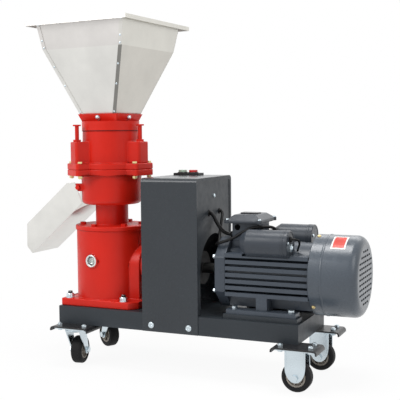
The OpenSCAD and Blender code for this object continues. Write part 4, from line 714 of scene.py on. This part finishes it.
def guard_screws():
    b = Build()
    for x in GUARD_SCREWS_X:
        for s in (-1, 1):
            m = spot(x, s * GUARD_HALF, GUARD_SCREWS_Z, (0, s, 0))
            slotted_screw(b, m @ spin(0.5 + 0.3 * s), 8.4, 3.8)
    m = spot(GUARD_END - FLANGE_IN, 0.0, REAR_SCREW_Z, (1, 0, 0))
    slotted_screw(b, m @ spin(0.9), 5.2, 3.0)
    b.done("guard_screw_heads", "zinc", "machine", 0.3, replaces=("guard_screws",))


guard_flange()
guard_screws()


# Switch: a collar around each key; the keys themselves are rounded nodes
def switch_collars():
    b = Build()
    for x in KEYS_X:
        b.ring([(12.4, 0), (14.4, 0), (14.4, 1.4), (13.6, 2.4), (12.4, 2.4)], spot(x, KEYS_Y, GUARD_TOP + SWITCH_H))
    b.done("switch_collars", "black_plastic", "machine", 0.2)


switch_collars()


# Motor: bell bolts and bearing cap, lid plate and lugs, capacitor ends, fan cover screws and blank plate
BELL_WASHER_R, BELL_WASHER_T, BELL_HEAD, BELL_HEAD_H = 7.2, 1.3, 10.0, 5.4


def bell_bolts():
    """Bolt heads on the front end bell, small screws on its bearing cap, and the cap."""
    b = Build()
    for sy in (-1, 1):
        for sz in (-1, 1):
            m = spot(BELL_X, sy * BELL_BOLT_Y, DRIVE_Z + sz * BELL_BOLT_Z, (-1, 0, 0))
            b.washer(BELL_WASHER_R, 3.2, BELL_WASHER_T, m)
            b.nut(BELL_HEAD, BELL_HEAD_H, m @ shift(0, 0, BELL_WASHER_T))
    for k in range(4):
        a = math.pi / 4 + k * math.pi / 2
        y, z = CAP_SCREW_R * math.cos(a), CAP_SCREW_R * math.sin(a)
        b.nut(8.0, 4.2, spot(BELL_FACE_X, y, DRIVE_Z + z, (-1, 0, 0)))
    b.done("bell_bolts", "zinc", "machine", 0.25)
    cap = Build()
    cap.ring([(15.2, 0), (53.5, 0), (53.5, 2.2), (49, 4.0), (36, 4.0), (33, 2.8), (24, 2.8), (21, 6.0), (16.4, 6.0),
              (15.2, 5.0)], spot(BELL_FACE_X + 0.2, 0, DRIVE_Z, (-1, 0, 0)), 56)
    cap.done("bearing_cap", "motor_paint", "machine", 0.4)


LID_PLATE_L, LID_PLATE_W, LID_PLATE_CUT = 48.0, 30.0, 3.0
LUG_R, LUG_H = 7.0, 9.2
KNOCKOUT_IN, KNOCKOUT_Z = 15.0, 387.0


def terminal_details():
    """The lid's blank plate, its four lugs with screws, and a knockout in the side of the box, its face painted near
    black as the shade in its hole.
    """
    x, y, cut = LID_PLATE_L / 2, LID_PLATE_W / 2, LID_PLATE_CUT
    corners = [(cut - x, -y), (x - cut, -y), (x, cut - y), (x, y - cut), (x - cut, y), (cut - x, y), (-x, y - cut),
               (-x, cut - y)]
    plate = Build()
    plate.prism(corners, -0.5, 3.0, spot(TERM_X + TERM_L / 2, 0, LID_Z + LID_H, (0, 0, 1), (0, 1, 0)))
    plate.done("terminal_lid_plate", "motor_paint", "machine", 0.6, material=MATERIALS["black_plate"])
    lugs, screws = Build(), Build()
    for x in (TERM_X - LUG_OUT, TERM_X + TERM_L + LUG_OUT):
        for y in (-LUG_Y, LUG_Y):
            m = spot(x, y, LID_Z + 0.6)
            lugs.lathe([(0, 0), (LUG_R, 0), (LUG_R, LUG_H - 1.2), (LUG_R - 0.8, LUG_H), (0, LUG_H)], m, 28)
            slotted_screw(screws, m @ shift(0, 0, LUG_H) @ spin(x + y), 4.6, 3.0)
    lugs.done("terminal_lid_lugs", "motor_paint", "machine", 0.7, material=MATERIALS["housing_paint"])
    screws.done("terminal_lid_screws", "zinc", "machine", 0.2)
    hole = Build()
    hole.lathe([(0, 0.3), (6.4, 0.3), (6.4, 0.7), (7.4, 0.9), (7.8, 0), (7.8, -1), (0, -1)],
               spot(TERM_X + KNOCKOUT_IN, -TERM_HALF, KNOCKOUT_Z, (0, -1, 0)), 32)
    # The knockout's face is painted shade: near black and dull, standing for the inside of the hole
    dark = moulded("knockout_painted_shade", srgb(6, 6, 7), 0.8, spec=0.05)
    hole.done("terminal_knockout", "black_plastic", "machine", 0.1, material=dark)


GLAND_Z, CAP_NUT_Z = 366.0, 344.0


def capacitor_ends():
    """Crimped caps on both capacitor covers, with the small screws, the nut and the lead's gland."""
    caps, metal, gland = Build(), Build(), Build()
    r = CAP_R
    for x, y in ((CAP_FRONT, -CAP_Y), (CAP_REAR, CAP_Y)):
        m = spot(x, y, CAP_Z, (1, 0, 0))
        caps.lathe([(r - 0.2, -7), (r + 0.6, -7), (r + 0.6, 0.6), (r - 0.6, 2.0), (r - 3.0, 2.0), (r - 4.4, 0.9),
                    (0, 0.9), (0, 0.1), (r - 0.2, 0.1), (r - 0.2, -7)], m, 56)
        caps.ring([(r - 0.2, -16.0), (r + 0.8, -15.2), (r + 0.8, -9.0), (r - 0.2, -8.2)], m, 56)
    caps.done("capacitor_ends", "motor_paint", "machine", 0.4, material=MATERIALS["housing_paint"])
    front = spot(CAP_FRONT, -CAP_Y, CAP_NUT_Z, (1, 0, 0))
    metal.nut(18.0, 5.4, front @ shift(0, 0, 0.8), 0.86)
    metal.dome(5.2, 4.0, front @ shift(0, 0, 6.0), 24)
    gland.ring([(3.1, 0), (7.4, 0), (7.4, 3.0), (6.4, 3.8), (5.0, 6.0), (3.1, 6.0)],
               spot(CAP_FRONT + 0.8, -CAP_Y, GLAND_Z, (1, 0, 0)), 28)
    for x, y, z, head_r, head_h in ((CAP_FRONT, -CAP_Y - 17.0, 358.0, 3.8, 3.0),
                                    (CAP_FRONT, -CAP_Y + 18.0, 340.0, 3.8, 3.0),
                                    (CAP_REAR, CAP_Y - 14.0, 360.0, 4.6, 3.4)):
        metal.dome(head_r, head_h, spot(x + 0.9, y, z, (1, 0, 0)), 20)
    metal.done("capacitor_fittings", "zinc", "machine", 0.2)
    gland.done("capacitor_gland", "lead_rubber", "machine", 0.2)


COVER_SCREW_DEG, COVER_SCREW_IN, COVER_WASHER_T = (223, 343, 103), 7.0, 0.8
BEAD_IN, BEAD_W, BEAD_H = 27.0, 7.0, 1.7


def fan_cover_details():
    """Three screws round the fan cover's edge and the bead pressed into its side."""
    b = Build()
    seat_r = COVER_R - 0.2
    for degrees in COVER_SCREW_DEG:
        t = math.radians(degrees)
        y, z = math.cos(t), math.sin(t)
        m = spot(COVER_X + COVER_SCREW_IN, seat_r * y, DRIVE_Z + seat_r * z, (0, y, z))
        b.washer(5.2, 2.6, COVER_WASHER_T, m)
        slotted_screw(b, m @ shift(0, 0, COVER_WASHER_T) @ spin(t), 4.2, 2.8)
    b.done("fan_cover_screws", "yellow_zinc", "machine", 0.2)
    bead = Build()
    r = COVER_R - 0.4
    arc = [(r + BEAD_H * math.sin(math.pi * k / 8), BEAD_IN + BEAD_W * (1 - math.cos(math.pi * k / 8)) / 2)
           for k in range(9)]
    bead.ring(arc, spot(COVER_X, 0, DRIVE_Z, (1, 0, 0)), 96)
    bead.done("fan_cover_bead", "motor_paint", "machine", 0, material=MATERIALS["cover_paint"])


def plate_on_cover(name, x0, x1, a0, a1, rise, material):
    """A thin plate that follows the fan cover's round, between two places along it and two angles."""
    b = Build()
    n = 12
    points, faces = [], []
    for r in (COVER_R + 0.05, COVER_R + rise):
        for i in range(n + 1):
            a = math.radians(a0 + (a1 - a0) * i / n)
            for x in (x0, x1):
                points.append((x - MIDDLE, -r * math.cos(a), DRIVE_Z + r * math.sin(a)))
    k = 2 * (n + 1)
    for i in range(n):
        faces.append([2 * i, 2 * i + 1, 2 * i + 3, 2 * i + 2])
        faces.append([k + 2 * i, k + 2 * i + 2, k + 2 * i + 3, k + 2 * i + 1])
        faces.append([2 * i, 2 * i + 2, k + 2 * i + 2, k + 2 * i])
        faces.append([2 * i + 1, k + 2 * i + 1, k + 2 * i + 3, 2 * i + 3])
    faces += [[0, k, k + 1, 1], [2 * n, 2 * n + 1, k + 2 * n + 1, k + 2 * n]]
    b.faces(points, faces, Matrix.Identity(4))
    b.done(name, "motor_paint", "machine", 0.15, material=material)


bell_bolts()
terminal_details()
capacitor_ends()
fan_cover_details()
pale_plate = moulded("blank_plate_border", srgb(232, 228, 224), 0.4, 0.01, coat=0.2)
red_plate = moulded("blank_plate_face", srgb(208, 56, 40), 0.4, 0.01, coat=0.1)
plate_on_cover("blank_plate", 753.0, 790.0, 47.5, 78.0, 0.5, pale_plate)
plate_on_cover("blank_plate_middle", 757.0, 786.0, 50.0, 75.5, 0.8, red_plate)


# Leads: the routes of the frame, each on one smooth curve, with a soft gland at its ends
LEADS = {
    "lead_thick": (5.0, [
        (416, -34, 421), (424, -34, 421), (432, -35.5, 413), (440, -37, 400), (449, -37.5, 386),
        (458, -35, 375), (467, -30, 369), (476, -28, 367), (484.7, -28, 367)]),
    "lead_thin": (4.0, [
        (416, 36, 421), (424, 36, 421), (430, 29, 413), (433, 14, 394), (435, 1, 374), (438, -13, 356),
        (442, -28, 345), (446, -44, 342), (449, -58, 343), (456, -67, 346), (468, -69, 350),
        (482, -66, 355), (498, -62, 362), (516, -59, 373), (534, -56, 383), (553, -51, 389),
        (573, -48, 391), (590, -43, 391), (599, -36, 387), (598, -28, 382), (589, -24, 379),
        (575, -23, 378), (566, -23, 378), (559.3, -23, 378)]),
    "lead_capacitor": (2.5, [
        (654.4, -81, 366), (661, -81, 366), (669, -78, 366), (674, -70, 362),
        (673, -61, 352), (668, -55, 342), (665.5, -51.8, 334)]),
}


def smooth_route(points, steps=6):
    """A smooth curve through the points, as many short straight steps."""
    p = [Vector(q) for q in points]
    route = []
    for i in range(len(p) - 1):
        a, b, c, d = p[max(i - 1, 0)], p[i], p[i + 1], p[min(i + 2, len(p) - 1)]
        for k in range(steps):
            t = k / steps
            route.append(0.5 * ((2 * b) + (c - a) * t + (2 * a - 5 * b + 4 * c - d) * t ** 2
                                + (3 * b - a - 3 * c + d) * t ** 3))
    return route + [p[-1]]


def make_lead(name, r, points):
    route = [at(*q) for q in smooth_route(points)]
    curve = bpy.data.curves.new(name, "CURVE")
    curve.dimensions = "3D"
    curve.bevel_depth = r * MM
    curve.bevel_resolution = 5
    curve.use_fill_caps = True
    line = curve.splines.new("POLY")
    line.points.add(len(route) - 1)
    for p, q in zip(line.points, route):
        p.co = (*q, 1)
    line.use_smooth = True
    obj = bpy.data.objects.new(name, curve)
    bpy.context.scene.collection.objects.link(obj)
    curve.materials.append(MATERIALS["lead_rubber"])
    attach(obj, "machine")
    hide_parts("motor_leads")


for lead_name, (lead_r, lead_points) in LEADS.items():
    make_lead(lead_name, lead_r, lead_points)


LEAD_HOLES = ((-34.0, 5.0), (36.0, 4.0))
LEAD_HOLE_Z = 421.0
BOX_GLANDS = ((TERM_X, -28.0, 367.0, -1, 5.0), (TERM_X + TERM_L, -23.0, 378.0, 1, 4.0))


def grommets():
    """Rubber rings where the leads leave the guard, and glands where they enter the terminal box."""
    b = Build()
    for y, r in LEAD_HOLES:
        m = spot(GUARD_END - FLANGE_IN, y, LEAD_HOLE_Z, (1, 0, 0))
        b.ring([(r + 0.2, 0), (r + 3.6, 0), (r + 3.8, 1.2), (r + 2.6, 2.4), (r + 1.0, 2.6), (r + 0.2, 2.0)], m, 36)
    for x, y, z, out, r in BOX_GLANDS:
        m = spot(x, y, z, (out, 0, 0))
        b.ring([(r + 0.1, -0.5), (r + 4.2, -0.5), (r + 4.2, 2.6), (r + 3.0, 3.4), (r + 2.6, 6.4), (r + 0.9, 8.6),
                (r + 0.1, 8.6)], m, 32)
    b.done("lead_grommets", "lead_rubber", "machine", 0.3)


grommets()


# Casters: ball races, hub faces, tyre rings and the rigid forks' side plates
RIM_FACE, SPOKES = 14.2, 6


def caster_details():
    """Ball races of the swivelling pair, and the faces of all hubs and tyres, which roll with their wheels."""
    for key, (x, y, turn) in CASTERS.items():
        a = math.radians(turn)
        ahead = Vector((math.cos(a), math.sin(a), 0))
        side = Vector((-math.sin(a), math.cos(a), 0))
        hub = Vector((x, y, AXLE_Z)) + (ahead * TRAIL if key in SWIVELS else Vector())
        if key in SWIVELS:
            race = Build()
            race.ring([(24.0, 101.0), (27.4, 101.0), (28.4, 99.6), (27.6, 97.2), (24.0, 95.6)], spot(x, y, 0), 56)
            race.done("caster_race_" + key, "zinc", "machine", 0.2)
        rim, ribs = Build(), Build()
        for s in (-1, 1):
            m = spot(hub.x, hub.y, hub.z, side * s)
            rim.ring([(HUB_R - 0.4, 8.0), (HUB_R - 0.4, 13.4), (HUB_R - 1.6, RIM_FACE), (HUB_R - 4.4, RIM_FACE),
                      (HUB_R - 5.2, 12.6), (HUB_R - 5.2, 8.0)], m, 56)
            rim.ring([(5.3, 8.0), (10.2, 8.0), (10.2, 15.2), (9.0, 16.2), (5.3, 16.2)], m, 36)
            for k in range(SPOKES):
                rim.box((10.4, 2.4, 4.6), m @ spin(k * 2 * math.pi / SPOKES + 0.3) @ shift(15.0, 0, 10.4))
            ribs.ring([(27.2, 13.9), (28.0, 15.5), (30.6, 15.5), (31.4, 13.9)], m, 64)
        rim.done("hub_face_" + key, "hub_plastic", "wheel_" + key, 0.3)
        ribs.done("tyre_ring_" + key, "tyre", "wheel_" + key, 0)


caster_details()


def fork_cheeks():
    """The rigid forks' pressed side plates: wide down to the axle, rounded below, with a bead along each edge."""
    half = [(26.0, 104.0), (26.0, 62.0), (24.8, 51.0), (21.6, 41.5), (16.0, 32.5), (8.4, 26.6), (0.0, 25.0)]
    outline = half + [(-x, z) for x, z in reversed(half[:-1])]
    inner, outer, bead_x, bead_z = 18.2, 21.8, 22.6, 82.0
    b = Build()
    for key, (x, y, _) in CASTERS.items():
        if key not in SWIVELS:
            for s in (-1, 1):
                m = spot(x, y, 0, (0, s, 0))
                b.prism(outline, inner, outer, m)
                for side in (-1, 1):
                    b.box((2.6, 40.0, 2.2), m @ shift(side * bead_x, bead_z, outer))
    b.done("fork_cheeks", "zinc", "machine", 0.9, 3)


fork_cheeks()


# Light, floor and backdrop
def top_of(tree, path, names):
    """The largest of the named outputs of a Light Path node."""
    rays = path.outputs[names[0]]
    for name in names[1:]:
        top = tree.nodes.new("ShaderNodeMath")
        top.operation = "MAXIMUM"
        tree.links.new(rays, top.inputs[0])
        tree.links.new(path.outputs[name], top.inputs[1])
        rays = top.outputs["Value"]
    return rays


SHOWN_RAYS = ("Is Camera Ray", "Is Glossy Ray", "Is Transmission Ray")


# The floor lies a hair lower than the wheels, and its soft shadow fades between two distances in metres
FLOOR_DROP = 0.0005
SHADOW_FROM, SHADOW_TO, SHADOW_SHARE = 0.3, 1.2, 0.93


def white_floor():
    """A white floor that keeps a soft shadow near the object and runs into the backdrop further off."""
    bm = bmesh.new()
    bmesh.ops.create_grid(bm, x_segments=1, y_segments=1, size=9.0)
    mesh = bpy.data.meshes.new("floor")
    bm.to_mesh(mesh)
    bm.free()
    obj = bpy.data.objects.new("floor", mesh)
    obj.location.z = -FLOOR_DROP
    bpy.context.scene.collection.objects.link(obj)
    mat = bpy.data.materials.new("pale_floor")
    mat.use_nodes = True
    tree = mat.node_tree
    tree.nodes.clear()
    out = tree.nodes.new("ShaderNodeOutputMaterial")
    diffuse = tree.nodes.new("ShaderNodeBsdfDiffuse")
    diffuse.inputs["Color"].default_value = (0.9, 0.9, 0.9, 1)
    glow = tree.nodes.new("ShaderNodeEmission")
    coord = tree.nodes.new("ShaderNodeTexCoord")
    reach = tree.nodes.new("ShaderNodeVectorMath")
    reach.operation = "LENGTH"
    tree.links.new(coord.outputs["Object"], reach.inputs[0])
    spread = tree.nodes.new("ShaderNodeMapRange")
    spread.interpolation_type = "SMOOTHSTEP"
    for socket, v in (("From Min", SHADOW_FROM), ("From Max", SHADOW_TO), ("To Min", SHADOW_SHARE), ("To Max", 1.0)):
        spread.inputs[socket].default_value = v
    tree.links.new(reach.outputs["Value"], spread.inputs["Value"])
    share = tree.nodes.new("ShaderNodeMath")
    share.operation = "MULTIPLY"
    path = tree.nodes.new("ShaderNodeLightPath")
    tree.links.new(top_of(tree, path, SHOWN_RAYS), share.inputs[0])
    tree.links.new(spread.outputs["Result"], share.inputs[1])
    mix = tree.nodes.new("ShaderNodeMixShader")
    tree.links.new(share.outputs["Value"], mix.inputs["Fac"])
    tree.links.new(diffuse.outputs["BSDF"], mix.inputs[1])
    tree.links.new(glow.outputs["Emission"], mix.inputs[2])
    tree.links.new(mix.outputs["Shader"], out.inputs["Surface"])
    mesh.materials.append(mat)


WORLD_STRENGTH = 0.36


def white_world():
    """White where it is seen or mirrored, and dimmer as a light."""
    world = bpy.data.worlds.new("studio")
    bpy.context.scene.world = world
    world.use_nodes = True
    tree = world.node_tree
    tree.nodes.clear()
    out = tree.nodes.new("ShaderNodeOutputWorld")
    shown = tree.nodes.new("ShaderNodeBackground")
    lit = tree.nodes.new("ShaderNodeBackground")
    lit.inputs["Color"].default_value = (0.97, 0.985, 1.0, 1)
    lit.inputs["Strength"].default_value = WORLD_STRENGTH
    path = tree.nodes.new("ShaderNodeLightPath")
    mix = tree.nodes.new("ShaderNodeMixShader")
    tree.links.new(top_of(tree, path, SHOWN_RAYS), mix.inputs["Fac"])
    tree.links.new(lit.outputs["Background"], mix.inputs[1])
    tree.links.new(shown.outputs["Background"], mix.inputs[2])
    tree.links.new(mix.outputs["Shader"], out.inputs["Surface"])
    shown.inputs["Color"].default_value = (1, 1, 1, 1)


def soft_lamp(name, place, size, watts, aim=(0, 0, 0.4)):
    data = bpy.data.lights.new(name, "AREA")
    data.shape = "RECTANGLE"
    data.size, data.size_y = size
    data.energy = watts
    lamp = bpy.data.objects.new(name, data)
    place = Vector(place)
    lamp.matrix_world = Matrix.Translation(place) @ facing(place - Vector(aim))
    bpy.context.scene.collection.objects.link(lamp)


white_floor()
white_world()
# Key lamp on the left, one above, and weaker ones on the right and behind
soft_lamp("key", (-1.6, -2.2, 2.3), (1.6, 1.6), 50)
soft_lamp("top", (0.1, -0.1, 2.7), (1.3, 1.0), 42, (0.1, 0, 0))
soft_lamp("fill", (2.3, -0.8, 1.7), (1.4, 1.4), 12)
soft_lamp("back", (0.4, 2.4, 2.2), (2.0, 1.2), 14)
bpy.context.scene.view_settings.view_transform = "Standard"
